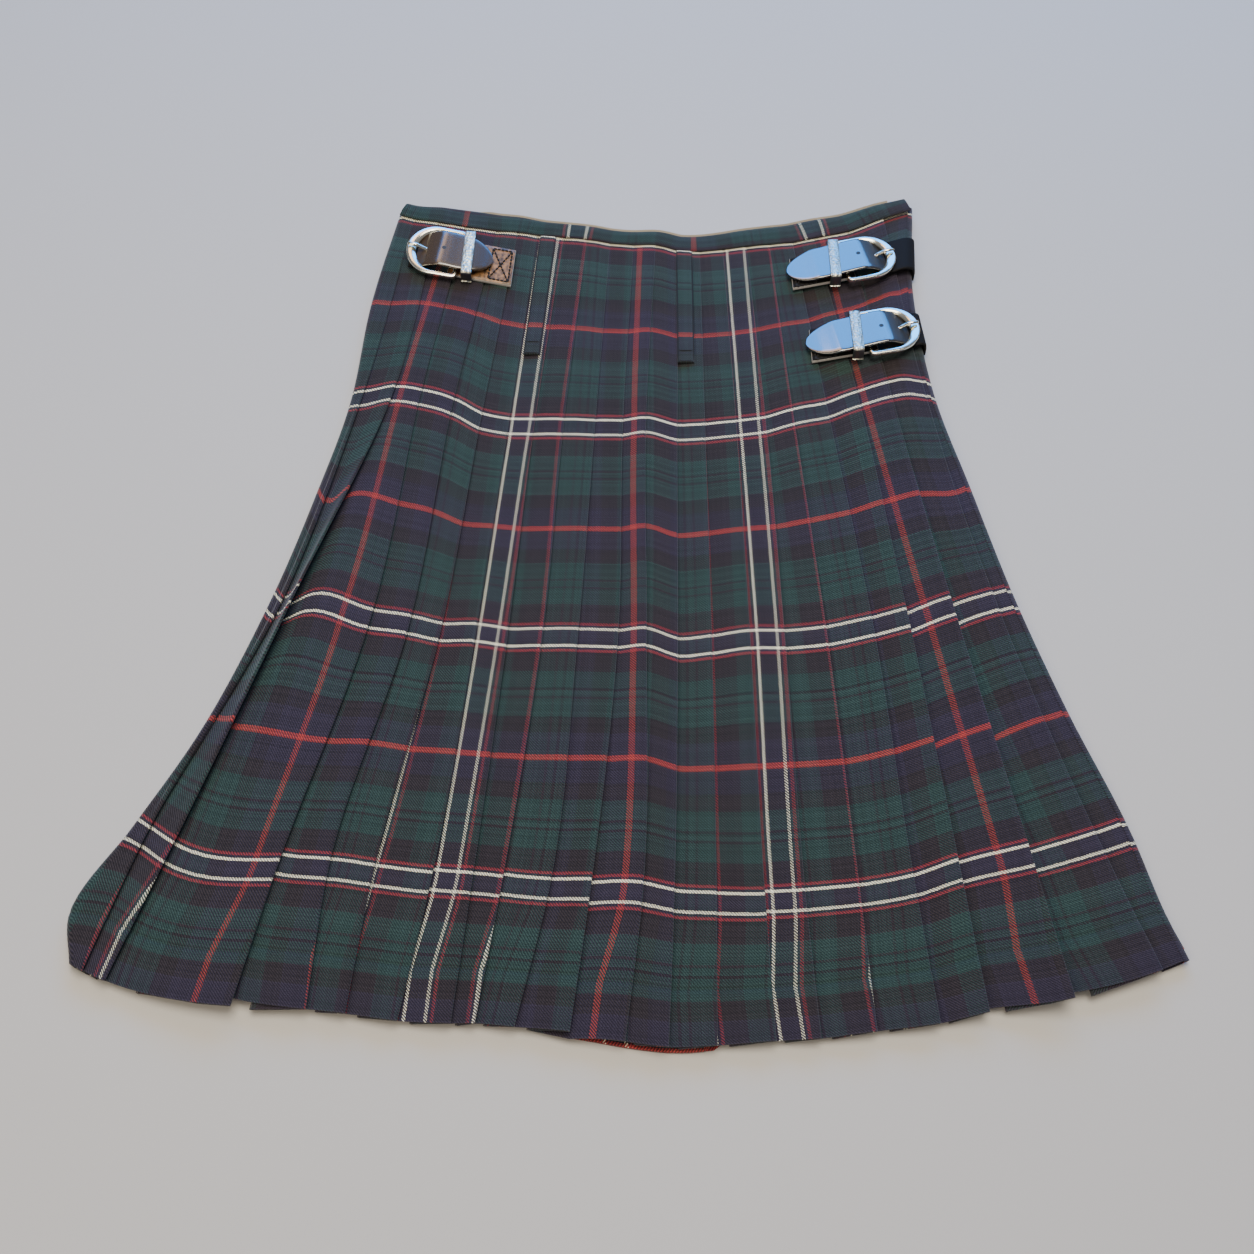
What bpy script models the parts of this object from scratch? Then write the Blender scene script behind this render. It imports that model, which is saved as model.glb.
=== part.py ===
"""A scottish kilt laid flat on a table with its pleated back up.

The waist points to +Y, the hem to -Y, and the two front aprons lie folded
underneath, flat on the table at z = 0. Tables are in millimetres and Blender
gets metres. One cloth makes the whole kilt: at the left edge the back turns
round the side into the over apron, and at the right edge into the under apron.
"""

import math

import bmesh
import bpy
import numpy as np
from mathutils import Matrix, Vector

MM = 0.001

# Cloth and seams
CLOTH = 1.1            # thickness of the kilt's worsted cloth
PITCH = 1.55           # from one layer to the next inside a pleat
SEAM = 0.3             # clearance between two pieces
PLEAT_DEPTH = 0.75     # hidden depth of a pleat, as a share of the width that shows
FELL = 150.0           # down to here the pleats are sewn flat
DROP = 599.0           # from the waist seam to the selvedge at the hem

# The stack on the table, from the floor up
OVER_Z = CLOTH / 2
UNDER_Z = OVER_Z + CLOTH + SEAM
LINING = 1.0
LINING_Z = UNDER_Z + CLOTH / 2 + SEAM + LINING / 2
BACK_BOTTOM_WAIST = LINING_Z + LINING / 2 + SEAM
BACK_BOTTOM_SKIRT = UNDER_Z + CLOTH / 2 + SEAM
PLEAT_STACK = CLOTH / 2 + 3.5 * PITCH

# Turned edges at the two sides
SIDE_TURN = 4.0        # how far in from the edge the turn begins
TURN_UNDER = 16.0      # how far the turned cloth runs in underneath

# Waistband and lining
BAND_START = 2.0       # the band's lower edge lies this far above the seam line
BAND_LIFT = 0.7        # clearance between the band and the pleats beneath it
UNDER_BAND = 7.5       # the pleats run on this far beneath the band
LINING_DEPTH = 14.0
LINING_INSET = 13.0    # the lining ends this far in from the side edges
LINING_PEEK = 2.2      # the lining's edge stands this far past the band

# Distances from the waist seam, down the cloth, at which the folds are measured
FOLD_DISTANCE = (0.0, 166.5, 339.5, 512.5, 599.0)

# One row for each knife pleat, from left to right: its free fold's x and y at
# the waist, hip, thigh, low skirt and hem, and how far it springs up at the hem.
FOLDS = (
    # x waist  hip     thigh   low     hem      y waist  hip    thigh   low     hem    spring
    (-164.0, -190.5, -231.5, -295.5, -319.5,    302.0, 133.0, -35.5, -198.0, -281.0,   1.0),
    (-145.0, -168.0, -219.5, -278.5, -305.0,    298.0, 137.0, -31.0, -209.0, -287.0,   5.0),
    (-124.0, -148.5, -169.0, -211.5, -228.5,    295.0, 134.5, -47.0, -220.5, -302.5,   2.0),
    (-100.0, -125.0, -143.5, -180.5, -185.5,    292.5, 128.0, -50.5, -219.0, -303.5,   1.0),
    (-83.5, -104.0, -122.5, -153.5, -162.5,     291.5, 115.5, -55.5, -222.5, -306.0,   2.0),
    (-68.0, -84.0, -99.0, -118.0, -132.0,       288.5, 111.0, -56.0, -227.0, -310.0,   1.0),
    (-48.0, -65.5, -78.0, -93.0, -101.0,        286.5, 110.5, -59.5, -227.5, -311.5,   1.0),
    (-30.0, -44.5, -55.0, -75.0, -87.0,         284.5, 110.5, -59.5, -229.5, -311.5,   1.0),
    (-12.0, -22.0, -31.5, -46.0, -64.0,         280.5, 109.5, -59.5, -231.0, -313.5,   1.0),
    (6.0, -2.0, -5.0, -21.0, -32.0,             277.5, 109.0, -61.0, -231.5, -316.5,   2.5),
    (23.0, 14.5, 14.0, 10.5, 0.0,               277.5, 111.0, -60.0, -234.5, -322.0,   1.0),
    (41.0, 37.0, 34.5, 29.5, 25.0,              273.0, 105.5, -67.0, -238.5, -325.0,   1.5),
    (57.0, 57.0, 57.0, 55.0, 53.0,              272.5, 106.5, -65.0, -240.0, -324.0,   1.0),
    (75.0, 79.5, 82.5, 84.5, 87.0,              274.5, 109.0, -61.0, -240.5, -321.5,   1.0),
    (93.0, 101.0, 105.5, 109.0, 113.0,          277.5, 112.5, -61.0, -238.0, -320.0,   1.0),
    (111.0, 121.0, 133.5, 142.0, 145.5,         279.5, 119.5, -58.5, -235.0, -316.0,   1.0),
    (129.0, 146.0, 164.5, 175.5, 182.5,         281.5, 125.5, -51.5, -229.0, -311.5,   1.5),
    (146.0, 169.0, 188.0, 203.5, 211.0,         286.0, 135.5, -45.5, -220.0, -305.5,   4.0),
    (172.0, 192.0, 218.0, 246.5, 260.0,         292.0, 140.5, -38.5, -212.5, -298.5,   6.0),
    (200.5, 216.5, 247.0, 291.0, 316.0,         304.5, 140.0, -34.5, -202.0, -280.5,   2.0),
)

# One row for each section down the two side edges
SIDES = (
    # distance  left x   left y   right x  right y
    (0.0,       -177.0,   308.0,   224.0,   314.0),
    (80.0,      -191.5,   224.0,   217.5,   240.5),
    (166.5,     -199.0,   133.5,   224.0,   143.5),
    (253.0,     -215.0,    57.5,   242.0,    58.5),
    (339.5,     -238.5,   -31.0,   262.0,   -30.0),
    (426.0,     -268.5,  -117.0,   286.0,  -113.5),
    (512.5,     -306.0,  -191.5,   313.0,  -194.5),
    (567.0,     -334.5,  -246.0,   325.5,  -246.0),
    (599.0,     -329.0,  -276.0,   334.5,  -273.5),
)

# Broad soft ridges that run down the skirt: x at waist and hem, half width,
# and height at waist and hem
RIDGES = (
    (-150.0, -225.0, 34.0, 5.0, 3.0),
    (14.0, 8.0, 15.0, 2.0, 2.0),
    (200.0, 262.0, 30.0, 2.0, 3.0),
)

# Height of the waistband along the waist
BAND = (
    # x       height
    (-177.0,  14.0),
    (-115.0,  18.0),
    (-55.0,   15.5),
    (0.0,     14.5),
    (65.0,    16.5),
    (150.0,   19.0),
    (224.0,   14.0),
)

# Rows of the lofted cloth, as distances from the waist seam
CLOTH_ROWS = (-UNDER_BAND, 30.0, 80.0, 150.0, 235.0, 330.0, 425.0, 512.5, 567.0, DROP)
FRONT_BAND_ROWS = (-14.5, -UNDER_BAND - 1.5)
APRON_COLUMNS = 13
UNDER_SHORT = TURN_UNDER + 8.0    # the under apron stops this far short of the left edge
BAND_COLUMNS = 25

# Belt loops: x at the top and bottom of the left edge, and the width
LOOPS = (
    ("belt_loop_left", -66.0, -75.5, 12.5),
    ("belt_loop_right", 38.5, 38.0, 12.5),
)
LOOP_TOP = 1.5
LOOP_END = 105.0
LOOP_WALL = 1.0
LOOP_ROWS = 9

# Buckles: where the round end of the frame lies, which way its strap's tip
# points in degrees, and how far out the strap's tip and the tab's end lie
BUCKLES = (
    # name          x       y      heading  strap tip  tab end  round the side
    ("left",        -166.0,  269.3,   -10.0,    66.0,     82.0,    False),
    ("right_upper",  204.3,  265.0,   192.0,    84.0,     80.5,    True),
    ("right_lower",  216.4,  195.5,   190.7,    85.0,     81.5,    True),
)
FRAME_HALF = 18.6      # from the frame's middle line to the centre of its rod
FRAME_ROD = 2.4        # radius of the rod
BAR = 40.5             # the bar that the prong turns on
KEEPER_AT = 47.5
KEEPER_WIDE = 8.0
KEEPER_LONG = 39.6
KEEPER_HIGH = 12.4
KEEPER_WALL = 1.5
STRAP_HALF = 15.7
STRAP_THICK = 2.4
TAB_HALF = 16.4
TAB_THICK = 2.4
TAB_START = 34.0
PRONG_ROD = 1.3
FRAME_CENTRE = SEAM + TAB_THICK + SEAM + FRAME_ROD
CLEAR = 0.3

COLOURS = {
    "tartan": ((0.035, 0.075, 0.06, 1.0), 0.85, 0.0),
    "lining": ((0.62, 0.56, 0.46, 1.0), 0.75, 0.0),
    "leather": ((0.02, 0.02, 0.022, 1.0), 0.3, 0.0),
    "steel": ((0.75, 0.76, 0.74, 1.0), 0.2, 1.0),
}


def smooth_curve(xs, ys, x):
    """A cubic through the points, with each slope set by the points beside it."""
    xs = np.asarray(xs, float)
    ys = np.asarray(ys, float)
    x = np.asarray(x, float)
    slope = np.gradient(ys, xs)
    i = np.clip(np.searchsorted(xs, x) - 1, 0, len(xs) - 2)
    step = xs[i + 1] - xs[i]
    u = (x - xs[i]) / step
    inside = ((2 * u**3 - 3 * u**2 + 1) * ys[i] + (u**3 - 2 * u**2 + u) * step * slope[i]
              + (3 * u**2 - 2 * u**3) * ys[i + 1] + (u**3 - u**2) * step * slope[i + 1])
    below = ys[0] + (x - xs[0]) * slope[0]
    above = ys[-1] + (x - xs[-1]) * slope[-1]
    return np.where(x < xs[0], below, np.where(x > xs[-1], above, inside))


def soft_step(u):
    """Rises from 0 to 1 with level ends."""
    u = np.clip(u, 0.0, 1.0)
    return u * u * (3 - 2 * u)


def side(distance, column):
    """A side edge's x or y at this distance down the cloth."""
    table = np.array(SIDES)
    return float(smooth_curve(table[:, 0], table[:, column], distance))


def fold_x(distance):
    """The free folds' x at this distance, left to right."""
    return np.array([float(smooth_curve(FOLD_DISTANCE, row[0:5], distance)) for row in FOLDS])


def fold_y(distance):
    """The free folds' y at this distance, left to right."""
    return np.array([float(smooth_curve(FOLD_DISTANCE, row[5:10], distance)) for row in FOLDS])


def spring(distance):
    """How far each free fold stands up: none where the pleats are sewn down."""
    grow = soft_step((distance - FELL) / (DROP - FELL) * 1.6)
    return np.array([row[10] for row in FOLDS]) * grow


def relief(x, distance):
    """Height of the broad soft ridges."""
    share = np.clip(distance / DROP, 0.0, 1.0)
    height = 0.0
    for x_waist, x_hem, half, high_waist, high_hem in RIDGES:
        middle = x_waist + (x_hem - x_waist) * share
        high = high_waist + (high_hem - high_waist) * share
        height = height + high * np.exp(-((x - middle) / half) ** 2)
    return height


def row_y(x, distance):
    """The weft line's y over x at this distance down the cloth."""
    xs = np.concatenate(([side(distance, 1)], fold_x(distance), [side(distance, 3)]))
    ys = np.concatenate(([side(distance, 2)], fold_y(distance), [side(distance, 4)]))
    return smooth_curve(xs, ys, x)


def fold_level(x, distance):
    """Middle height of a pleat's top layer at its free fold, straight between folds."""
    bottom = BACK_BOTTOM_WAIST + (BACK_BOTTOM_SKIRT - BACK_BOTTOM_WAIST) * soft_step((distance - 30) / 50)
    xs = np.concatenate(([side(distance, 1)], fold_x(distance), [side(distance, 3)]))
    return bottom + PLEAT_STACK + np.interp(x, xs, relief(xs, distance))


def pleat_section(distance):
    """The zigzag of the pleated cloth across the back: rows of x and height.

    Every pleat runs right along its face to a free fold, back left beneath it,
    and round a hidden crease into the next pleat's face, three layers deep.
    """
    left = side(distance, 1)
    right = side(distance, 3)
    folds = fold_x(distance)
    springs = spring(distance)
    points = []

    def add(x, height):
        points.append((x, height))

    start = left + SIDE_TURN
    top = float(fold_level(start, distance)) - 0.5
    middle = (top + OVER_Z) / 2
    add(left + TURN_UNDER, OVER_Z)
    for angle in (-90, -45, 0, 45, 90):
        reach = SIDE_TURN * math.cos(math.radians(angle))
        add(start - reach, middle + (top - OVER_Z) / 2 * math.sin(math.radians(angle)))

    previous = start
    for number, x in enumerate(folds):
        wide = x - previous
        lift = springs[number]
        if number:
            slope = 2 * PITCH / wide
            add(previous, float(fold_level(previous, distance)) - 2 * PITCH)
            half = x - wide / 2
            add(half, float(fold_level(half, distance)) - PITCH + lift / 2 + 0.3)
        else:
            slope = min(0.5 / wide, 0.25)
        level = float(fold_level(x, distance))
        deep = PLEAT_DEPTH * wide
        crease = float(fold_level(x - deep, distance)) - slope * deep
        add(x, level + lift)
        add(x + PITCH / 2, level + lift - PITCH / 2)
        add(x, level + lift - PITCH)
        add(x - deep, crease - PITCH)
        add(x - deep - PITCH / 2, crease - 1.5 * PITCH)
        add(x - deep, crease - 2 * PITCH)
        previous = x

    end = right - SIDE_TURN
    add(previous, float(fold_level(previous, distance)) - 2 * PITCH)
    top = float(fold_level(end, distance)) - 2 * PITCH + 0.4
    middle = (top + UNDER_Z) / 2
    for angle in (90, 45, 0, -45, -90):
        reach = SIDE_TURN * math.cos(math.radians(angle))
        add(end + reach, middle + (top - UNDER_Z) / 2 * math.sin(math.radians(angle)))
    add(right - TURN_UNDER, UNDER_Z)
    return np.array(points)


def wall_sides(path, thick):
    """The two faces of a wall round a path of 2D points, mitred at its corners."""
    step = np.diff(path, axis=0)
    step = step / np.linalg.norm(step, axis=1)[:, None]
    before = np.vstack((step[:1], step))
    after = np.vstack((step, step[-1:]))
    mean = before + after
    mean = mean / np.linalg.norm(mean, axis=1)[:, None]
    normal = np.column_stack((-mean[:, 1], mean[:, 0]))
    stretch = 1 / np.maximum(np.sum(mean * before, axis=1), 0.5)
    shift = normal * (thick / 2 * stretch)[:, None]
    return path + shift, path - shift


def material(name):
    """A plain Principled material for the solids."""
    found = bpy.data.materials.get(name)
    if found:
        return found
    colour, rough, metal = COLOURS[name]
    made = bpy.data.materials.new(name)
    made.use_nodes = True
    shader = made.node_tree.nodes["Principled BSDF"]
    shader.inputs["Base Color"].default_value = colour
    shader.inputs["Roughness"].default_value = rough
    shader.inputs["Metallic"].default_value = metal
    made.diffuse_color = colour
    return made


def keep(obj, slot):
    """Give an object its material and put it in the kilt's collection."""
    obj.data.materials.clear()
    obj.data.materials.append(material(slot))
    for collection in list(obj.users_collection):
        collection.objects.unlink(obj)
    kilt.objects.link(obj)
    return obj


def wall(name, slot, front, back):
    """Close a wall between two grids of points (rows, columns, 3), in millimetres."""
    rows, columns = front.shape[:2]
    mesh = bpy.data.meshes.new(name)
    bm = bmesh.new()
    grids = []
    for grid in (front, back):
        grids.append([[bm.verts.new(Vector(point) * MM) for point in row] for row in grid])
    top, low = grids
    for r in range(rows - 1):
        for c in range(columns - 1):
            bm.faces.new((top[r][c], top[r + 1][c], top[r + 1][c + 1], top[r][c + 1]))
            bm.faces.new((low[r][c], low[r][c + 1], low[r + 1][c + 1], low[r + 1][c]))
    for r in (0, rows - 1):
        for c in range(columns - 1):
            bm.faces.new((top[r][c], top[r][c + 1], low[r][c + 1], low[r][c]))
    for c in (0, columns - 1):
        for r in range(rows - 1):
            bm.faces.new((top[r][c], low[r][c], low[r + 1][c], top[r + 1][c]))
    bmesh.ops.recalc_face_normals(bm, faces=bm.faces)
    bm.to_mesh(mesh)
    bm.free()
    return keep(bpy.data.objects.new(name, mesh), slot)


def grid_of(rows):
    """Stack rows of x, y and z into one grid."""
    return np.array([np.column_stack(row) for row in rows])


def make_pleated_back():
    """The pleated back, one wall from the over apron to the under apron."""
    front = []
    back = []
    for distance in CLOTH_ROWS:
        outer, inner = wall_sides(pleat_section(distance), CLOTH)
        front.append((outer[:, 0], row_y(outer[:, 0], distance), outer[:, 1]))
        back.append((inner[:, 0], row_y(inner[:, 0], distance), inner[:, 1]))
    return wall("pleated_back", "tartan", grid_of(front), grid_of(back))


def make_flat_panel(name, level, left_inset, right_inset, rows):
    """A front apron or its waistband, flat beneath the back."""
    low = []
    high = []
    for distance in rows:
        x = np.linspace(side(distance, 1) + left_inset, side(distance, 3) - right_inset, APRON_COLUMNS)
        y = row_y(x, distance)
        low.append((x, y, np.full_like(x, level - CLOTH / 2)))
        high.append((x, y, np.full_like(x, level + CLOTH / 2)))
    return wall(name, "tartan", grid_of(high), grid_of(low))


def waist_frame(x):
    """The waist seam's point and its outward direction in plan, over x."""
    y = row_y(x, 0.0)
    tangent = row_y(x + 0.5, 0.0) - row_y(x - 0.5, 0.0)
    size = np.sqrt(1 + tangent**2)
    return y, -tangent / size, 1 / size


def along_waist(x, rise, height):
    """Points that lie a rise above the waist seam, at a height."""
    y, across_x, across_y = waist_frame(x)
    return x + across_x * rise, y + across_y * rise, height + 0 * x


def band_height(x):
    """Height of the waistband at x."""
    table = np.array(BAND)
    return smooth_curve(table[:, 0], table[:, 1], x)


def strip_along_waist(name, slot, x, rises, heights, thick):
    """A strip whose section, a rise and a height, is carried along the waist."""
    front = []
    back = []
    for column in range(len(x)):
        path = np.column_stack((rises[:, column], heights[:, column]))
        outer, inner = wall_sides(path, thick)
        here = np.full(len(rises), x[column])
        front.append(along_waist(here, outer[:, 0], outer[:, 1]))
        back.append(along_waist(here, inner[:, 0], inner[:, 1]))
    return wall(name, slot, grid_of(front), grid_of(back))


def make_waistband_back():
    """The band on the back: flat over the pleats, rolled down at the top edge."""
    x = np.linspace(side(0, 1) + 1.5, side(0, 3) - 1.5, BAND_COLUMNS)
    high = band_height(x)
    level = fold_level(x, 0.0) + CLOTH + BAND_LIFT
    rises = np.array((0 * x + BAND_START, high - 3.0, high - 0.9, high))
    heights = np.array((level, level, level - 1.0, level - 2.9))
    return strip_along_waist("waistband_back", "tartan", x, rises, heights, CLOTH)


def make_lining():
    """The lining behind the back's waist, its edge just showing past the band."""
    x = np.linspace(side(0, 1) + LINING_INSET, side(0, 3) - LINING_INSET, BAND_COLUMNS)
    peek = LINING_PEEK - 3.5 * soft_step((-105.0 - x) / 20)
    high = band_height(x)
    level = fold_level(x, 0.0) + CLOTH + BAND_LIFT
    low = 0 * x + LINING_Z
    rises = np.array((0 * x - LINING_DEPTH, high - 5.0, high - 1.5, high + peek))
    heights = np.array((low, low, level - 5.6, level - 2.4 - 0.8 * (LINING_PEEK - peek)))
    return strip_along_waist("lining_back", "lining", x, rises, heights, LINING)


def make_belt_loop(name, x_top, x_end, wide):
    """A strip sewn down over the pleats, made from the cloth beneath, moved out."""
    top = []
    low = []
    for distance in np.linspace(LOOP_TOP, LOOP_END, LOOP_ROWS):
        share = (distance - LOOP_TOP) / (LOOP_END - LOOP_TOP)
        x = x_top + (x_end - x_top) * share + np.linspace(0, wide, 3)
        y = row_y(x, distance)
        level = float(np.max(fold_level(x, distance))) + CLOTH / 2 + SEAM
        low.append((x, y, np.full_like(x, level)))
        top.append((x, y, np.full_like(x, level + LOOP_WALL)))
    return wall(name, "tartan", grid_of(top), grid_of(low))


def distance_of(x, y):
    """How far down the cloth a point of the plan lies."""
    steps = np.linspace(0.0, DROP, 121)
    ys = np.array([float(row_y(x, step)) for step in steps])
    return float(np.interp(-y, -ys, steps))


def cloth_top(x, y):
    """Height of the pleats' upper side at a point of the plan."""
    return float(fold_level(x, distance_of(x, y))) + CLOTH / 2


def buckle_matrix(x, y, heading):
    """A buckle's own axes: a along the strap, b across it and n out of the cloth."""
    turn = math.radians(heading)
    along = Vector((math.cos(turn), math.sin(turn), 0))
    across = Vector((-math.sin(turn), math.cos(turn), 0))
    ends = []
    for a in (12.0, 78.0):
        foot = [Vector((x, y, 0)) + along * a + across * b for b in (-15.0, 0.0, 15.0)]
        ends.append(max(cloth_top(p.x, p.y) for p in foot))
    rise = (ends[1] - ends[0]) / 66.0
    axis_a = (along + Vector((0, 0, rise))).normalized()
    axis_n = axis_a.cross(across)
    middle = Vector((x, y, 0)) + along * 45.0
    slack = cloth_top(middle.x, middle.y) - (ends[0] + rise * 33.0)
    origin = Vector((x, y, ends[0] - rise * 12.0 + max(slack, 0.0)))
    frame = Matrix((axis_a, across, axis_n)).transposed().to_4x4()
    return Matrix.Translation(origin * MM) @ frame


def rod(name, slot, points, radius, cyclic, matrix):
    """A bent round rod through points given as a, b and n."""
    data = bpy.data.curves.new(name, "CURVE")
    data.dimensions = "3D"
    data.bevel_depth = radius * MM
    data.bevel_resolution = 2
    data.use_fill_caps = not cyclic
    spline = data.splines.new("POLY")
    spline.points.add(len(points) - 1)
    for target, point in zip(spline.points, points):
        target.co = (*(Vector(point) * MM), 1.0)
    spline.use_cyclic_u = cyclic
    obj = bpy.data.objects.new(name, data)
    keep(obj, slot)
    obj.matrix_world = matrix
    return obj


def make_frame(name, matrix):
    """The D of bent rod, with the bar that closes it."""
    points = []
    for step in range(13):
        angle = math.radians(90 + step * 15)
        points.append((FRAME_ROD + FRAME_HALF * (1 + math.cos(angle)), FRAME_HALF * math.sin(angle),
                       FRAME_CENTRE))
    points.append((BAR, -FRAME_HALF, FRAME_CENTRE))
    points.append((BAR, FRAME_HALF, FRAME_CENTRE))
    return rod(name, "steel", points, FRAME_ROD, True, matrix)


def make_keeper(name, matrix):
    """The flat staple that holds the strap's end down."""
    half = KEEPER_LONG / 2
    inner = half - KEEPER_WALL
    outline = ((-half, CLEAR), (-half, KEEPER_HIGH), (half, KEEPER_HIGH), (half, CLEAR),
               (inner, CLEAR), (inner, KEEPER_HIGH - KEEPER_WALL),
               (-inner, KEEPER_HIGH - KEEPER_WALL), (-inner, CLEAR))
    data = bpy.data.curves.new(name, "CURVE")
    data.dimensions = "2D"
    data.fill_mode = "BOTH"
    data.extrude = KEEPER_WIDE / 2 * MM
    spline = data.splines.new("POLY")
    spline.points.add(len(outline) - 1)
    for target, (b, n) in zip(spline.points, outline):
        target.co = (b * MM, n * MM, 0.0, 1.0)
    spline.use_cyclic_u = True
    obj = bpy.data.objects.new(name, data)
    keep(obj, "steel")
    stand = Matrix(((0, 0, 1), (1, 0, 0), (0, 1, 0))).to_4x4()
    obj.matrix_world = matrix @ Matrix.Translation((KEEPER_AT * MM, 0, 0)) @ stand
    return obj


def make_prong(name, matrix):
    """The prong, from the bar, through the strap's slot, to rest on the frame."""
    tip = FRAME_CENTRE + FRAME_ROD + CLEAR + PRONG_ROD
    points = ((BAR - FRAME_ROD - CLEAR, 0, FRAME_CENTRE), (18.0, 0, FRAME_CENTRE),
              (12.5, 0, FRAME_CENTRE + 1.4), (7.0, 0, tip), (1.0, 0, tip))
    return rod(name, "steel", points, PRONG_ROD, False, matrix)


def make_tab(name, end, matrix):
    """The leather base that is sewn to the kilt beneath the buckle."""
    bpy.ops.mesh.primitive_cube_add(size=1.0)
    obj = bpy.context.object
    obj.name = name
    obj.data.name = name
    size = Matrix.Diagonal(((end - TAB_START) * MM, 2 * TAB_HALF * MM, TAB_THICK * MM, 1.0))
    middle = Matrix.Translation(((end + TAB_START) / 2 * MM, 0, (CLEAR + TAB_THICK / 2) * MM))
    obj.data.transform(middle @ size)
    keep(obj, "leather")
    bevel = obj.modifiers.new("rounded edges", "BEVEL")
    bevel.width = 0.6 * MM
    bevel.segments = 1
    bevel.limit_method = "ANGLE"
    obj.matrix_world = matrix
    return obj


def side_reach(matrix, b):
    """How far out along -a the kilt's right edge lies, on a line b across the buckle."""
    a = 0.0
    for _ in range(6):
        point = matrix @ (Vector((a, b, 0)) * MM) / MM
        edge = side(distance_of(point.x, point.y), 3)
        a += (edge - point.x) / matrix.col[0].x
    return -a


def strap_path(tip, round_side, matrix):
    """The strap's middle line as a and n: out from under the frame, over the bar, down to its tip."""
    flat = CLEAR - 0.1 + STRAP_THICK / 2
    over = FRAME_CENTRE + FRAME_ROD + CLEAR + STRAP_THICK / 2
    rest = CLEAR + TAB_THICK + CLEAR + STRAP_THICK / 2
    points = [(4.0, flat), (13.5, flat), (17.5, flat + 2.6), (21.5, flat + 6.4), (27.0, over + 0.7),
              (35.0, over + 0.5), (44.0, over), (54.0, over - 0.4), (62.0, (over + rest) / 2 + 0.6)]
    if tip > 70.0:
        points += [(69.0, rest + 1.6), (76.0, rest + 0.6), (tip - 4.0, rest + 0.2), (tip, rest)]
    else:
        points[-2:] = [(53.0, over - 0.6), (59.0, over - 2.2), (tip - 3.0, over - 3.6), (tip, over - 4.2)]
    if round_side:
        floor = -matrix.translation.z / MM
        side_a = -(side_reach(matrix, 0.0) + CLOTH / 2 + CLEAR + STRAP_THICK / 2 + 0.9)
        start = [(side_a, floor + 0.4), (side_a, floor * 0.66), (side_a + 0.1, floor * 0.3),
                 (side_a + 1.3, flat - 1.4), (side_a + 4.0, flat + 0.3)]
        points = start + [p for p in points if p[0] > side_a + 6.0]
    return np.array(points)


def make_strap(name, tip, round_side, matrix):
    """A leather strap, blunt where it leaves the kilt and pointed at its free end."""
    path = strap_path(tip, round_side, matrix)
    lean = 0.0
    if round_side:
        lean = (side_reach(matrix, -STRAP_HALF) - side_reach(matrix, STRAP_HALF)) / (2 * STRAP_HALF)
    outer, inner = wall_sides(path, STRAP_THICK)
    run = np.concatenate(([0.0], np.cumsum(np.linalg.norm(np.diff(path, axis=0), axis=1))))
    left = run[-1] - run
    front = []
    back = []
    for number in range(len(path)):
        taper = min(left[number] / 26.0, 1.0)
        half = STRAP_HALF * max(math.sqrt(1 - (1 - taper) ** 2), 0.14)
        b = np.linspace(-half, half, 4)
        a = b * lean * float(soft_step((10.0 - path[number, 0]) / 16))
        front.append((outer[number, 0] + a, b, np.full(4, outer[number, 1])))
        back.append((inner[number, 0] + a, b, np.full(4, inner[number, 1])))
    obj = wall(name, "leather", grid_of(front), grid_of(back))
    obj.matrix_world = matrix
    cut_slot(obj, matrix)
    return obj


def cut_slot(strap, matrix):
    """The slot in the strap's bend that the prong comes through."""
    bpy.ops.mesh.primitive_cube_add(size=1.0)
    cutter = bpy.context.object
    cutter.name = "slot_cutter_" + strap.name
    size = Matrix.Diagonal((14.0 * MM, 2 * (PRONG_ROD + CLEAR + 0.2) * MM, 20.0 * MM, 1.0))
    cutter.data.transform(Matrix.Translation((18.0 * MM, 0, 8.0 * MM)) @ size)
    cutter.matrix_world = matrix
    cutter.hide_render = True
    cutter.display_type = "WIRE"
    for collection in list(cutter.users_collection):
        collection.objects.unlink(cutter)
    cutters.objects.link(cutter)
    slot = strap.modifiers.new("prong slot", "BOOLEAN")
    slot.operation = "DIFFERENCE"
    slot.object = cutter


def make_buckle(name, x, y, heading, tip, tab_end, round_side):
    """One fastened buckle: tab, frame, prong, keeper and strap."""
    matrix = buckle_matrix(x, y, heading)
    make_tab("tab_" + name, tab_end, matrix)
    make_frame("buckle_" + name, matrix)
    make_prong("prong_" + name, matrix)
    make_keeper("keeper_" + name, matrix)
    make_strap("strap_" + name, tip, round_side, matrix)


for old in list(bpy.data.objects):
    bpy.data.objects.remove(old, do_unlink=True)

kilt = bpy.data.collections.new("scottish_kilt")
cutters = bpy.data.collections.new("cutters")
bpy.context.scene.collection.children.link(kilt)
bpy.context.scene.collection.children.link(cutters)

make_pleated_back()
make_flat_panel("over_apron", OVER_Z, TURN_UNDER + SEAM, 0.0, CLOTH_ROWS)
make_flat_panel("under_apron", UNDER_Z, UNDER_SHORT, TURN_UNDER + SEAM, CLOTH_ROWS)
make_waistband_back()
make_lining()
make_flat_panel("waistband_over_apron", OVER_Z, 3.0, 0.0, FRONT_BAND_ROWS)
make_flat_panel("waistband_under_apron", UNDER_Z, UNDER_SHORT, 3.0, FRONT_BAND_ROWS)
for loop in LOOPS:
    make_belt_loop(*loop)
for buckle in BUCKLES:
    make_buckle(*buckle)
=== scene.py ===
# %% [markdown]
# # A tartan kilt laid flat with its pleated back up
# The solids give the kilt's true sizes. This lesson dresses them: the pleats become
# fine cloth with rounded folds, the tartan is worked out thread by thread in the
# shader, and the buckles and straps get the bevels, stitches and gloss that the
# real ones have. Everything stays in the frame of the solids, in metres, and the
# tables below are in millimetres.

import functools
import math

import bmesh
import bpy
import numpy as np
from mathutils import Matrix, Vector


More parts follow.
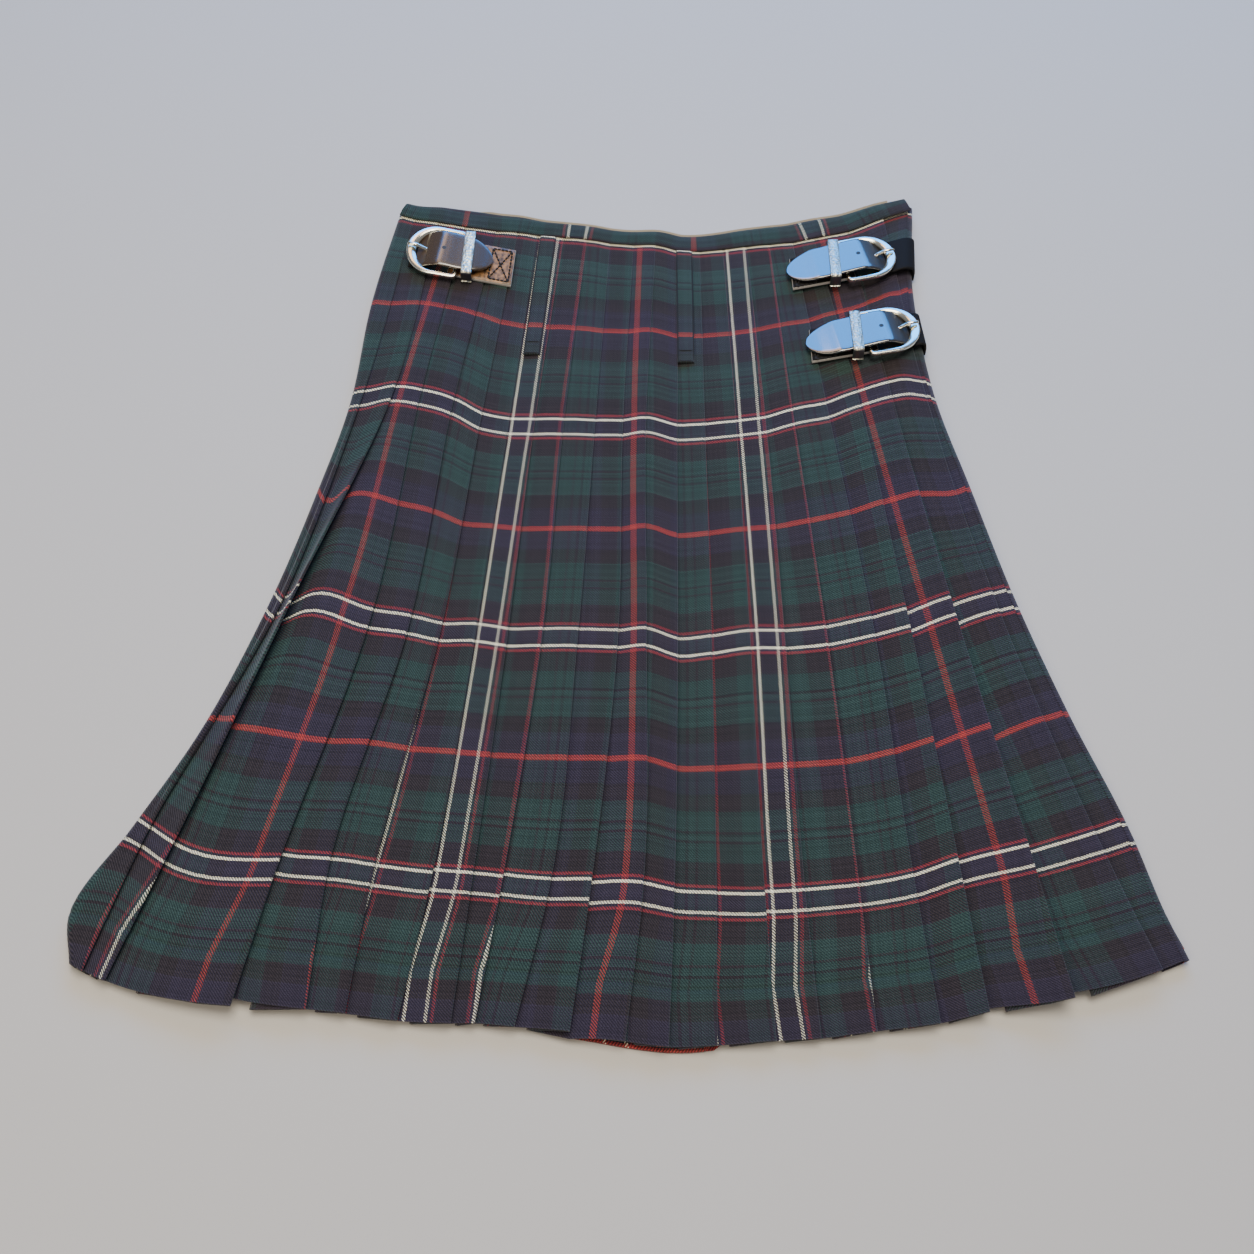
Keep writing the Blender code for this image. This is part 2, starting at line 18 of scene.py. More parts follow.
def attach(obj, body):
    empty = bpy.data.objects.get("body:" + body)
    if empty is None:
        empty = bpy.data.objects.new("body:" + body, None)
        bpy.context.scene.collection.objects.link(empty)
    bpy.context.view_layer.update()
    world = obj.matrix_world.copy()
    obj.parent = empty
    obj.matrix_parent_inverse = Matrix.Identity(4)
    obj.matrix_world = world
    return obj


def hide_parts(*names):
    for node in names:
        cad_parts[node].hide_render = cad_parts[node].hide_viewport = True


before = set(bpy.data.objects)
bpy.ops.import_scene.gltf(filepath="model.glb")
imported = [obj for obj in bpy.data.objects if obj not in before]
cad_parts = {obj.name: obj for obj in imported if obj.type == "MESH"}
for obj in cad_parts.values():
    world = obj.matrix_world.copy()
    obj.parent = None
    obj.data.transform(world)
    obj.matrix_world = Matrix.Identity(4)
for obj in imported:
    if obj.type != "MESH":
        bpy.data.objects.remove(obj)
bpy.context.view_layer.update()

MM = 0.001

# %% [markdown]
# ## The camera
# The photograph was taken standing at the hem's side, looking down at the cloth at 62
# degrees below the horizon. The lens comes from how fast the kilt narrows with
# distance, and gives a field of 47 degrees across.

# %% Set the camera
CAMERA_Y = -501.5
CAMERA_HEIGHT = 855.0
CAMERA_DOWN = 62.0

camera_data = bpy.data.cameras.new("camera")
camera = bpy.data.objects.new("camera", camera_data)
bpy.context.scene.collection.objects.link(camera)
camera_data.sensor_width = 36.0
camera_data.lens = 41.5
camera.location = (0.001, CAMERA_Y * MM, CAMERA_HEIGHT * MM)
camera.rotation_euler = (math.radians(90.0 - CAMERA_DOWN), 0.0, 0.0)
bpy.context.scene.camera = camera
print("camera", CAMERA_HEIGHT, "mm above the floor, with a lens of", camera_data.lens)

# %% [markdown]
# ## How the kilt lies
# These are the kilt's own sizes, the same as in the solids: how thick the cloth is,
# where each knife pleat's free fold runs, and how the two sides curve. A fold's row
# gives its place at the waist, hip, thigh, low skirt and hem. The cloth could hang from
# a simulation, but a pressed kilt keeps the lines that its maker gave it, and a short
# table of measures can be read and mended.

# %% Thicknesses, layers and lengths
CLOTH = 1.1
WALL = CLOTH - 0.1
PITCH = 1.55
SEWN_PITCH = 1.1
SEAM = 0.3
PLEAT_DEPTH = 0.75
FELL = 150.0
DROP = 599.0
OVER_Z = CLOTH / 2
UNDER_Z = OVER_Z + CLOTH + SEAM
LINING = 1.0
LINING_Z = UNDER_Z + CLOTH / 2 + SEAM + LINING / 2
BACK_BOTTOM_WAIST = LINING_Z + LINING / 2 + SEAM
BACK_BOTTOM_SKIRT = UNDER_Z + CLOTH / 2 + SEAM
PLEAT_STACK = CLOTH / 2 + 3.5 * PITCH
SIDE_TURN = 4.0
TURN_UNDER = 16.0
TURN_CLOTH = 6.0
TURN_HIDDEN = 26.0
UNDER_BAND = 7.5
BAND_LIFT = 0.7
LINING_INSET = 13.0
LINING_PEEK = 2.2
print("the back lies", round(BACK_BOTTOM_WAIST, 2), "mm up at the waist and", DROP, "mm long")

# %% Where the free folds run
FOLD_DISTANCE = (0.0, 166.5, 339.5, 512.5, 599.0)
FOLDS = (
    # x waist  hip     thigh   low     hem      y waist  hip    thigh   low     hem
    (-164.0, -190.5, -231.5, -295.5, -319.5, 302.0, 133.0, -39.5, -198.0, -281.0),
    (-145.0, -168.0, -219.5, -278.5, -305.0, 298.0, 137.0, -31.0, -209.0, -287.0),
    (-124.0, -148.5, -169.0, -211.5, -228.5, 295.0, 134.5, -47.0, -220.5, -302.5),
    (-100.0, -125.0, -143.5, -180.5, -185.5, 292.5, 128.0, -50.5, -219.0, -303.5),
    (-83.5, -104.0, -122.5, -153.5, -162.5, 291.5, 115.5, -55.5, -222.5, -306.0),
    (-68.0, -84.0, -99.0, -118.0, -132.0, 288.5, 111.0, -56.0, -227.0, -310.0),
    (-48.0, -65.5, -78.0, -93.0, -101.0, 286.5, 110.5, -59.5, -227.5, -311.5),
    (-30.0, -44.5, -55.0, -75.0, -87.0, 284.5, 110.5, -59.5, -229.5, -311.5),
    (-12.0, -22.0, -31.5, -46.0, -64.0, 280.5, 109.5, -59.5, -231.0, -313.5),
    (6.0, -2.0, -5.0, -21.0, -32.0, 277.5, 109.0, -61.0, -231.5, -316.5),
    (23.0, 14.5, 14.0, 10.5, 0.0, 277.5, 111.0, -60.0, -234.5, -322.0),
    (41.0, 37.0, 34.5, 29.5, 25.0, 273.0, 105.5, -67.0, -238.5, -325.0),
    (57.0, 57.0, 57.0, 55.0, 53.0, 272.5, 106.5, -65.0, -240.0, -324.0),
    (75.0, 79.5, 82.5, 84.5, 87.0, 274.5, 109.0, -61.0, -240.5, -321.5),
    (93.0, 101.0, 105.5, 109.0, 113.0, 277.5, 112.5, -61.0, -238.0, -320.0),
    (111.0, 121.0, 133.5, 142.0, 145.5, 279.5, 119.5, -58.5, -235.0, -316.0),
    (129.0, 146.0, 164.5, 175.5, 182.5, 281.5, 125.5, -51.5, -229.0, -311.5),
    (146.0, 169.0, 188.0, 203.5, 211.0, 286.0, 135.5, -45.5, -220.0, -305.5),
    (172.0, 192.0, 218.0, 246.5, 260.0, 292.0, 140.5, -38.5, -212.5, -298.5),
    (200.5, 216.5, 247.0, 291.0, 316.0, 304.5, 140.0, -34.5, -202.0, -280.5),
)
print(len(FOLDS), "free folds, measured at", FOLD_DISTANCE, "mm down the cloth")

# %% The two sides, the raised parts and the band
SIDES = (
    # distance  left x   left y   right x  right y
    (0.0, -177.0, 308.0, 224.0, 314.0),
    (80.0, -191.5, 224.0, 217.5, 240.5),
    (166.5, -199.0, 133.5, 224.0, 143.5),
    (253.0, -215.0, 57.5, 242.0, 58.5),
    (339.5, -238.5, -31.0, 262.0, -30.0),
    (426.0, -268.5, -117.0, 286.0, -113.5),
    (512.5, -306.0, -191.5, 313.0, -194.5),
    (567.0, -334.5, -246.0, 325.5, -246.0),
    (599.0, -329.0, -276.0, 334.5, -273.5),
)
RIDGES = (
    # x waist  x hem   half   high at waist, hem
    (-150.0, -225.0, 34.0, 5.0, 3.0),
    (14.0, 8.0, 15.0, 2.0, 2.0),
    (200.0, 262.0, 30.0, 2.0, 3.0),
)
BAND = (
    # x       height
    (-177.0, 14.0),
    (-115.0, 18.0),
    (-55.0, 15.5),
    (0.0, 14.5),
    (65.0, 16.5),
    (150.0, 19.0),
    (224.0, 14.0),
)
print("the hem is", SIDES[-1][3] - SIDES[-1][1], "mm across")

# %% [markdown]
# ## What makes each pleat its own
# A pleat that is pressed but not sewn springs up a little, most at the two outer
# sides, where the skirt fans out. Where one pleat lies over the next, the threads
# don't quite meet, so the bands of the tartan step up or down there. The third table
# says which part of the tartan's repeat lies on each free fold: this cloth was
# pleated so that every face shows the next part of the pattern.

# %% How far each pleat springs up
SPRING = (
    # hip   thigh  low   hem
    (1.0, 2.0, 1.0, 1.0),
    (1.5, 8.0, 3.5, 1.5),
    (0.3, 1.0, 1.5, 2.5),
    (0.2, 0.8, 1.0, 1.0),
    (0.2, 0.8, 1.2, 1.5),
    (0.2, 0.8, 1.0, 1.0),
    (0.2, 0.8, 1.0, 1.0),
    (0.2, 0.6, 1.0, 1.0),
    (0.2, 0.6, 0.8, 1.0),
    (0.3, 1.0, 1.6, 2.5),
    (0.2, 0.8, 1.0, 1.0),
    (0.2, 0.8, 1.2, 1.5),
    (0.2, 0.6, 0.8, 1.0),
    (0.2, 0.6, 0.8, 1.0),
    (0.2, 0.6, 0.8, 1.0),
    (0.2, 0.8, 1.0, 1.0),
    (0.2, 1.0, 1.5, 1.5),
    (0.5, 2.2, 3.0, 4.0),
    (0.8, 4.0, 5.5, 6.0),
    (0.5, 2.0, 2.0, 2.0),
)
print("the highest spring is", max(max(row) for row in SPRING), "mm")

# %% Where the bands step
STEPS = (
    # after fold  distance  how far up the next pleat's bands begin
    (1, 240.0, 2.0),
    (1, 339.5, 5.0),
    (1, 420.0, 2.0),
    (2, 339.5, -7.0),
    (2, 240.0, -3.0),
    (2, 430.0, -3.0),
    (3, 512.5, 4.4),
    (3, 599.0, 5.0),
    (6, 512.5, 2.3),
    (8, 512.5, 1.7),
    (10, 512.5, -2.0),
    (10, 599.0, -3.8),
    (14, 512.5, 1.8),
    (18, 339.5, -3.4),
    (18, 426.0, -4.8),
    (18, 599.0, 2.5),
    (19, 339.5, -6.0),
    (19, 426.0, -9.0),
    (19, 512.5, -3.0),
    (19, 599.0, 4.0),
)
print(len(STEPS), "steps between neighbouring pleats")

# %% Which part of the tartan lies on each free fold
PLACE = (
    # waist  hip    thigh  low    hem: millimetres past the red line at the free fold
    (60.0, 60.0, 72.0, 74.0, 76.0),
    (38.0, 38.0, 50.0, 78.0, 83.0),
    (10.5, 14.0, 18.6, 14.5, 22.0),
    (-8.0, -7.0, -4.0, -7.0, -1.0),
    (-29.0, -29.0, -26.0, -27.0, -22.0),
    (-51.0, -52.0, -54.0, -44.7, -45.2),
    (-75.8, -76.8, -73.8, -70.8, -65.0),
    (-95.5, -93.8, -94.9, -95.2, -92.3),
    (-116.0, -119.0, -119.0, -117.0, -112.0),
    (-139.0, -142.0, -142.0, -140.0, -134.0),
    (-161.0, -164.7, -164.6, -161.5, -154.0),
    (-181.0, -185.0, -185.0, -183.0, -178.0),
    (-202.0, -205.0, -205.0, -203.0, -200.0),
    (-224.0, -226.0, -224.5, -222.0, -219.0),
    (-250.8, -247.5, -247.9, -246.1, -243.0),
    (-268.7, -268.9, -268.8, -269.0, -267.6),
    (-288.0, -288.0, -288.0, -288.0, -286.0),
    (-307.0, -308.0, -309.0, -308.0, -306.0),
    (-325.5, -327.0, -329.0, -327.5, -324.0),
    (-349.5, -350.5, -351.5, -351.5, -350.5),
    (-352.0, -352.0, -352.0, -352.0, -352.0),
)
SETT = 173.0
print(len(FOLDS), "pleats, a sett of", SETT, "mm")

# %% [markdown]
# ## Curves through measured points
# A fold is measured at five heights and drawn as a cubic through them. The weft line
# at a given distance down the cloth is a curve across all twenty folds, so the whole
# skirt is one smooth grid of folds and weft lines. A Bezier curve object could draw one
# fold, but a function can be asked for any point of the cloth, and belt loops, tabs and
# buckles ask it where to lie.


# %% Smooth curves and soft steps
def smooth_curve(xs, ys, x):
    """Cubic through the points; each point's slope comes from the points beside it."""
    xs = np.asarray(xs, float)
    ys = np.asarray(ys, float)
    x = np.asarray(x, float)
    slope = np.gradient(ys, xs)
    i = np.clip(np.searchsorted(xs, x) - 1, 0, len(xs) - 2)
    step = xs[i + 1] - xs[i]
    u = (x - xs[i]) / step
    inside = ((2 * u**3 - 3 * u**2 + 1) * ys[i] + (u**3 - 2 * u**2 + u) * step * slope[i]
              + (3 * u**2 - 2 * u**3) * ys[i + 1] + (u**3 - u**2) * step * slope[i + 1])
    below = ys[0] + (x - xs[0]) * slope[0]
    above = ys[-1] + (x - xs[-1]) * slope[-1]
    return np.where(x < xs[0], below, np.where(x > xs[-1], above, inside))


def soft_step(u):
    """Rises from 0 to 1 with level ends: 3u² - 2u³."""
    u = np.clip(u, 0.0, 1.0)
    return u * u * (3 - 2 * u)


print("half way up a soft step:", soft_step(0.5))


# %% Sides, folds and weft lines
def side(distance, column):
    """A side edge's x or y (column 1 to 4) at distances down the cloth."""
    table = np.array(SIDES)
    return smooth_curve(table[:, 0], table[:, column], distance)


def folds_at(distance, first):
    """The folds' x (first 0) or y (first 5): one column for each fold."""
    return np.stack([smooth_curve(FOLD_DISTANCE, row[first:first + 5], distance) for row in FOLDS], axis=-1)


def relief(x, distance):
    """Sum of broad bell-shaped ridges that run down the skirt."""
    share = np.clip(np.asarray(distance) / DROP, 0.0, 1.0)
    height = 0.0
    for x_waist, x_hem, half, high_waist, high_hem in RIDGES:
        middle = x_waist + (x_hem - x_waist) * share
        high = high_waist + (high_hem - high_waist) * share
        height = height + high * np.exp(-((x - middle) / half) ** 2)
    return height


@functools.lru_cache(maxsize=None)
def knots(distance):
    """The left edge, the twenty folds and the right edge at one distance: their x, and their y."""
    xs = np.concatenate(([side(distance, 1)], folds_at(distance, 0), [side(distance, 3)]))
    ys = np.concatenate(([side(distance, 2)], folds_at(distance, 5), [side(distance, 4)]))
    return xs, ys


def end_rise(x, distance):
    """The rows' rise under the two right straps: its height down the side, times its share inwards."""
    high = np.interp(distance, (0.0, 40.0, 80.0, 120.0, 166.5, 230.0), (0.0, 7.0, 12.0, 9.5, 6.0, 0.0))
    inward = np.clip(side(distance, 3) - x, -9.9, 69.9)
    share = smooth_curve((-10.0, 0.0, 8.0, 17.0, 31.0, 48.0, 70.0),
                         (-0.25, -0.25, 0.45, 0.9, 0.4, 0.0, 0.0), inward)
    return high * share


def row_y(x, distance):
    """The weft line's y over x, at one distance down the cloth."""
    xs, ys = knots(float(distance))
    return smooth_curve(xs, ys, x) + end_rise(np.asarray(x, float), distance)


def fold_level(x, distance):
    """Middle height of the top layer, straight between folds, at one distance."""
    bottom = BACK_BOTTOM_WAIST + (BACK_BOTTOM_SKIRT - BACK_BOTTOM_WAIST) * soft_step((distance - 30) / 50)
    xs = knots(float(distance))[0]
    return bottom + PLEAT_STACK + np.interp(x, xs, relief(xs, distance))


print("folds at the hip", np.round(folds_at(166.5, 0), 1))


# %% Springs, steps and the tartan's place
def springs_at(distance):
    """How far each free fold stands up; none where the pleats are sewn down."""
    at = (FELL - 20, 200.0, 339.5, 512.5, DROP)
    return np.array([np.interp(distance, at, (0.0, *row)) for row in SPRING])


def step_at(fold, distance):
    """How far up the bands begin on the pleat after this fold."""
    known = sorted((d, up) for number, d, up in STEPS if number == fold)
    if not known:
        return 0.0
    ends = [(known[0][0] - 90.0, 0.0)] + known + [(known[-1][0] + 70.0, 0.0)]
    return float(np.interp(distance, [d for d, _ in ends], [up for _, up in ends]))


def place_at(distance):
    """The tartan's place at each free fold, counted on so that it always grows."""
    base = np.array([np.interp(distance, FOLD_DISTANCE, row) for row in PLACE])
    return base + SETT * np.arange(len(PLACE))


print("springs at the hem", springs_at(DROP))

# %% [markdown]
# ## Cloth as a walled grid
# Cloth is a wall about a millimetre thick. Its middle line is a path across the
# kilt, row after row, and the wall's two faces lie half a thickness to each side of
# it. A Solidify modifier would do the same, but it cuts corners at a pressed fold. A
# map that goes with the mesh holds each point's place along the weft and down the
# warp, so the tartan follows the cloth through every fold.


# %% Put arrays into a mesh
def keep(name, verts, faces, threads=None, smooth=True):
    """Make an object at the origin from arrays of points and four-sided faces."""
    mesh = bpy.data.meshes.new(name)
    verts = np.asarray(verts, np.float32).reshape(-1, 3)
    faces = np.asarray(faces, np.int32)
    mesh.vertices.add(len(verts))
    mesh.vertices.foreach_set("co", (verts * MM).ravel())
    mesh.loops.add(faces.size)
    mesh.loops.foreach_set("vertex_index", faces.ravel())
    mesh.polygons.add(len(faces))
    mesh.polygons.foreach_set("loop_start", np.arange(0, faces.size, faces.shape[1], dtype=np.int32))
    mesh.update(calc_edges=True)
    mesh.validate()
    if threads is not None:
        layer = mesh.uv_layers.new(name="threads")
        flat = np.asarray(threads, np.float32).reshape(-1, 2) * MM
        layer.data.foreach_set("uv", flat[faces.ravel()].ravel())
    if smooth:
        mesh.shade_smooth()
    obj = bpy.data.objects.new(name, mesh)
    bpy.context.scene.collection.objects.link(obj)
    return obj


def grid_faces(rows, columns, first=0, turned=False):
    """Four-sided faces between neighbouring rows and columns of a grid."""
    index = first + np.arange(rows * columns).reshape(rows, columns)
    quads = np.stack((index[:-1, :-1], index[1:, :-1], index[1:, 1:], index[:-1, 1:]), axis=-1)
    quads = quads.reshape(-1, 4)
    return quads[:, ::-1] if turned else quads


print("a grid of 3 by 4 points has", len(grid_faces(3, 4)), "faces")


# %% Close a wall round a path or between two grids
def wall_object(name, front, back, threads):
    """Close a wall between two grids (rows, columns, 3) that share one thread map."""
    rows, columns = front.shape[:2]
    count = rows * columns
    faces = [grid_faces(rows, columns), grid_faces(rows, columns, count, True)]
    index = np.arange(count).reshape(rows, columns)
    loop = np.concatenate((index[0, :], index[1:, -1], index[-1, -2::-1], index[-2:0:-1, 0]))
    following = np.roll(loop, -1)
    faces.append(np.stack((loop, following, following + count, loop + count), axis=-1))
    verts = np.concatenate((front.reshape(-1, 3), back.reshape(-1, 3)))
    both = np.concatenate((threads.reshape(-1, 2), threads.reshape(-1, 2)))
    obj = keep(name, verts, np.concatenate(faces), both)
    obj.data.set_sharp_from_angle(angle=math.radians(50))
    return obj


def offset_path(path, thick):
    """The two sides of a wall round rows of 2D points (rows, points, 2), mitred."""
    step = np.diff(path, axis=1)
    step = step / np.maximum(np.linalg.norm(step, axis=2, keepdims=True), 1e-9)
    before = np.concatenate((step[:, :1], step), axis=1)
    after = np.concatenate((step, step[:, -1:]), axis=1)
    mean = before + after
    mean = mean / np.maximum(np.linalg.norm(mean, axis=2, keepdims=True), 1e-9)
    normal = np.stack((-mean[..., 1], mean[..., 0]), axis=-1)
    stretch = 1 / np.maximum(np.sum(mean * before, axis=2), 0.6)
    shift = normal * (thick / 2 * stretch)[..., None]
    return path + shift, path - shift


# %% [markdown]
# ## The pleated back
# One row of the back is a zigzag. Each pleat runs right along its face to the free
# fold, turns under in a small half circle, runs back left, and turns again round a
# hidden crease into the next face. Faces are a little crowned, the cloth ripples by a
# few tenths of a millimetre, and where a pleat springs up its whole face tilts. The
# deeper end of a face seems to slip towards the hem when it is seen from the camera,
# so its threads are moved up by as much and the bands meet at the folds.

# %% How a face is divided and how far a deep thread moves up
FACE_AT = np.array((0.0, 0.03, 0.08, 0.16, 0.28, 0.42, 0.56, 0.7, 0.82, 0.92, 1.0))
TURN = np.radians((64.0, 32.0, 0.0, -32.0, -64.0))
SIDE_ANGLES = np.radians((-90, -65, -35, 0, 35, 65, 90))
CROWN = 0.35
HEM_SKEW = 2.8


def seen_shift(depth, y):
    """How far up a thread this deep has to lie to be seen in line: depth times slope of the view."""
    return depth * (y - CAMERA_Y) / CAMERA_HEIGHT


print("a thread 3 mm deep at the hem moves up", round(seen_shift(3.0, -290.0), 2), "mm")


# %% Work out one row of the zigzag
def back_row(distance):
    """One row of the zigzag: x, height, place along the weft, and the bands' step."""
    left = float(side(distance, 1))
    right = float(side(distance, 3))
    folds = folds_at(distance, 0)
    lifts = springs_at(distance)
    pitch = SEWN_PITCH + (PITCH - SEWN_PITCH) * float(soft_step((distance - 120) / 120))
    half = pitch / 2
    edge = half + WALL / 2
    places = place_at(distance) + float(np.interp(distance, (525.0, 567.0, DROP), (0.0, HEM_SKEW, 0.0)))
    row = [[], [], [], []]

    def add(*values):
        """Add points to the row; a plain number counts for each of them."""
        shape = np.shape(np.atleast_1d(values[0]))
        for column, value in zip(row, values):
            column.append(np.broadcast_to(value, shape))

    start = left + SIDE_TURN
    top = float(fold_level(start, distance)) - 0.5
    lead = places[0] - (folds[0] - start)
    add(left + TURN_UNDER, OVER_Z, lead - TURN_HIDDEN, 0.0)
    up, out = np.sin(SIDE_ANGLES), np.cos(SIDE_ANGLES)
    add(start - SIDE_TURN * out, (top + OVER_Z) / 2 + (top - OVER_Z) / 2 * up,
        lead - TURN_CLOTH + TURN_CLOTH * up, 0.0)

    previous = start
    for number, here in enumerate(folds):
        wide = here - previous
        lift = lifts[number]
        drop = 2 * pitch * (0.3 + 0.7 * float(soft_step((distance - 5) / 60))) if number else 0.5
        q = FACE_AT if number else FACE_AT[1:]
        face_x = previous + (wide - edge) * q
        crown = CROWN * np.sin(np.pi * q) if number else 0.0
        meet = seen_shift(drop * (1 - q), float(row_y(here, distance)))
        add(face_x, fold_level(face_x, distance) - drop * (1 - q) + lift * q**1.6 + crown,
            places[number] - (here - face_x), step_at(number, distance) * (1 - q) ** 1.5 + meet)
        level = float(fold_level(here, distance)) + lift
        add(here - edge + half * np.cos(TURN), level - half + half * np.sin(TURN),
            places[number] - edge + half * (math.pi / 2 - TURN), 0.0)
        deep = PLEAT_DEPTH * wide
        slope = 2 * pitch / wide if number else min(0.5 / wide, 0.25)
        crease = float(fold_level(here - deep, distance)) - slope * deep
        under = places[number] - 2 * edge + half * math.pi
        following = folds[number + 1] if number + 1 < len(folds) else right
        after = places[number + 1] - (following - here)
        fall = level - crease
        add(here - 0.35 * deep, level - pitch - 0.35 * fall, under + 0.35 * deep, 0.0)
        add(here - deep, crease - pitch, under + deep, 0.0)
        add(here - deep - half, crease - 1.5 * pitch, (under + deep + after - deep) / 2, 0.0)
        add(here - deep, crease - 2 * pitch, after - deep, 0.0)
        previous = here

    end = right - SIDE_TURN
    q = FACE_AT
    face_x = previous + (end - previous) * q
    meet = seen_shift(2 * pitch, float(row_y(end, distance)))
    add(face_x, fold_level(face_x, distance) - 2 * pitch + 0.4 * q, places[-1] - (right - face_x),
        step_at(len(folds), distance) * (1 - q) ** 1.5 + meet)
    top = float(fold_level(end, distance)) - 2 * pitch + 0.4
    add(end + SIDE_TURN * out[::-1], (top + UNDER_Z) / 2 + (top - UNDER_Z) / 2 * up[::-1],
        places[-1] + 2.0 - TURN_CLOTH * up[::-1], 0.0)
    add(right - TURN_UNDER, UNDER_Z, places[-1] + TURN_HIDDEN - SIDE_TURN, 0.0)
    return [np.concatenate(column) for column in row]


hip_row = back_row(166.5)
print("points in a row", len(hip_row[0]), "and threads across it", round(float(np.ptp(hip_row[2]))), "mm")


# %% Lay the rows on the weft lines
def ripple(x, y):
    """A few slow waves, in millimetres: the cloth is never quite flat."""
    return (0.16 * np.sin(x / 17.0 + y / 41.0) + 0.12 * np.sin(y / 23.0 - x / 60.0 + 1.3)
            + 0.08 * np.sin(x / 7.5 - y / 33.0 + 0.6))


HEM_PRESS = 566.0
BACK_DISTANCES = np.concatenate((
    np.linspace(-UNDER_BAND, FELL, 30)[:-1], np.linspace(FELL, HEM_PRESS - 5, 67),
    HEM_PRESS + np.array((-2.5, -1.0, 0.0, 1.0, 3.0)), np.linspace(HEM_PRESS + 8, DROP, 6)))


def weft_place(distance):
    """Where the tartan has got to down the warp; the last bands are a little tighter."""
    return distance - 3.6 * soft_step((distance - 520.0) / 79.0)


lines = [back_row(distance) for distance in BACK_DISTANCES]
path = np.stack([np.stack((line[0], line[1]), axis=-1) for line in lines])
threads = np.stack([np.stack((line[2], np.full_like(line[2], weft_place(d))), axis=-1)
                    for line, d in zip(lines, BACK_DISTANCES)])
ups = np.stack([line[3] for line in lines])


def lay_on_rows(section, distances, up):
    """Turn rows of x and height into points, with y from the weft lines."""
    y = np.stack([row_y(section[r, :, 0], d) for r, d in enumerate(distances)]) + up
    return np.stack((section[..., 0], y, section[..., 1]), axis=-1)


outer, inner = offset_path(path, WALL)
outer = lay_on_rows(outer, BACK_DISTANCES, ups)
inner = lay_on_rows(inner, BACK_DISTANCES, ups)
pressed = (0.45 * soft_step((BACK_DISTANCES - HEM_PRESS) / 3)
           - 0.5 * np.exp(-((BACK_DISTANCES - HEM_PRESS) / 1.2) ** 2))[:, None]
for grid in (outer, inner):
    loose = np.clip((grid[..., 2] - 2.5) / 4.0, 0.0, 1.0)
    grid[..., 2] += (ripple(grid[..., 0], grid[..., 1]) + pressed) * loose
back = wall_object("cloth_pleated_back", outer, inner, threads)
print("pleated back", outer.shape, "faces", len(back.data.polygons))

# %% [markdown]
# ## The aprons and their bands
# The two front aprons lie flat underneath, one on the other. Little of them shows,
# but the kilt may be turned over, so they are real cloth too, with the tartan running
# on from the folded side. A plain cut plane would be enough for flat cloth; the grid is
# used again because its thread map comes with it.


# %% Make the flat panels
def flat_panel(name, level, left_inset, right_inset, first, last, start):
    """A flat walled panel: even shares across, between two weft lines; the tartan begins at start."""
    distances = np.linspace(first, last, max(4, int((last - first) / 12) + 2))
    share = np.linspace(0.0, 1.0, 49)
    x = np.stack([side(d, 1) + left_inset + (side(d, 3) - right_inset - side(d, 1) - left_inset) * share
                  for d in distances])
    y = np.stack([row_y(x[r], d) for r, d in enumerate(distances)])
    low_front = soft_step((x + 38) / 8) * soft_step((58 - x) / 8)
    y = y + (8.0 - 9.6 * low_front) * np.clip(distances / DROP, 0, 1)[:, None] ** 8
    u = start - (x - x[:, :1])
    v = np.broadcast_to(distances[:, None], x.shape)
    high = np.stack((x, y, np.full_like(x, level + WALL / 2)), axis=-1)
    low = np.stack((x, y, np.full_like(x, level - WALL / 2)), axis=-1)
    return wall_object(name, high, low, np.stack((u, v), axis=-1))


UNDER_LEFT = TURN_UNDER + 8.0
BAND_TOP = -14.5
BAND_FOOT = -UNDER_BAND - 0.6
over = flat_panel("cloth_over_apron", OVER_Z, TURN_UNDER + 0.1, 0.0, -UNDER_BAND, DROP, 8.0)
under = flat_panel("cloth_under_apron", UNDER_Z, UNDER_LEFT, TURN_UNDER + 0.1, -UNDER_BAND, DROP, 40.0)
over_band = flat_panel("cloth_band_over_apron", OVER_Z, 3.0, 0.0, BAND_TOP, BAND_FOOT, 30.0)
under_band = flat_panel("cloth_band_under_apron", UNDER_Z, UNDER_LEFT, 3.0, BAND_TOP, BAND_FOOT, 60.0)
print("aprons", len(over.data.polygons), "and", len(under.data.polygons), "faces")

# %% [markdown]
# ## Waistband and lining
# The band is a strip of the same cloth, sewn on over the tops of the pleats and
# rolled over the waist's edge. The tartan on it runs its own way: its lower edge is
# black, then green. Behind it the cotton lining's edge just shows. A straight strip
# bent by a Curve modifier would do, but the band's height changes on the way, so a
# section is worked out for each place along the waist.


# %% Carry a section along the waist
def waist_frame(x):
    """The seam's y over x, and its outward direction: the tangent turned by a quarter."""
    y = row_y(x, 0.0)
    tangent = row_y(x + 0.5, 0.0) - row_y(x - 0.5, 0.0)
    size = np.sqrt(1 + tangent**2)
    return y, -tangent / size, 1 / size


def band_height(x):
    """Height of the band above the seam."""
    table = np.array(BAND)
    return smooth_curve(table[:, 0], table[:, 1], x)


def strip(name, x, rises, heights, thick, u, v):
    """A walled strip whose section (rises, heights) is carried along the waist."""
    section = np.stack((rises.T, heights.T), axis=-1)
    first, second = offset_path(section, thick)
    y, out_x, out_y = waist_frame(x)
    grids = []
    for part in (first, second):
        grids.append(np.stack((x[:, None] + out_x[:, None] * part[..., 0],
                               y[:, None] + out_y[:, None] * part[..., 0], part[..., 1]), axis=-1))
    return wall_object(name, grids[0], grids[1], np.stack((u, v), axis=-1))


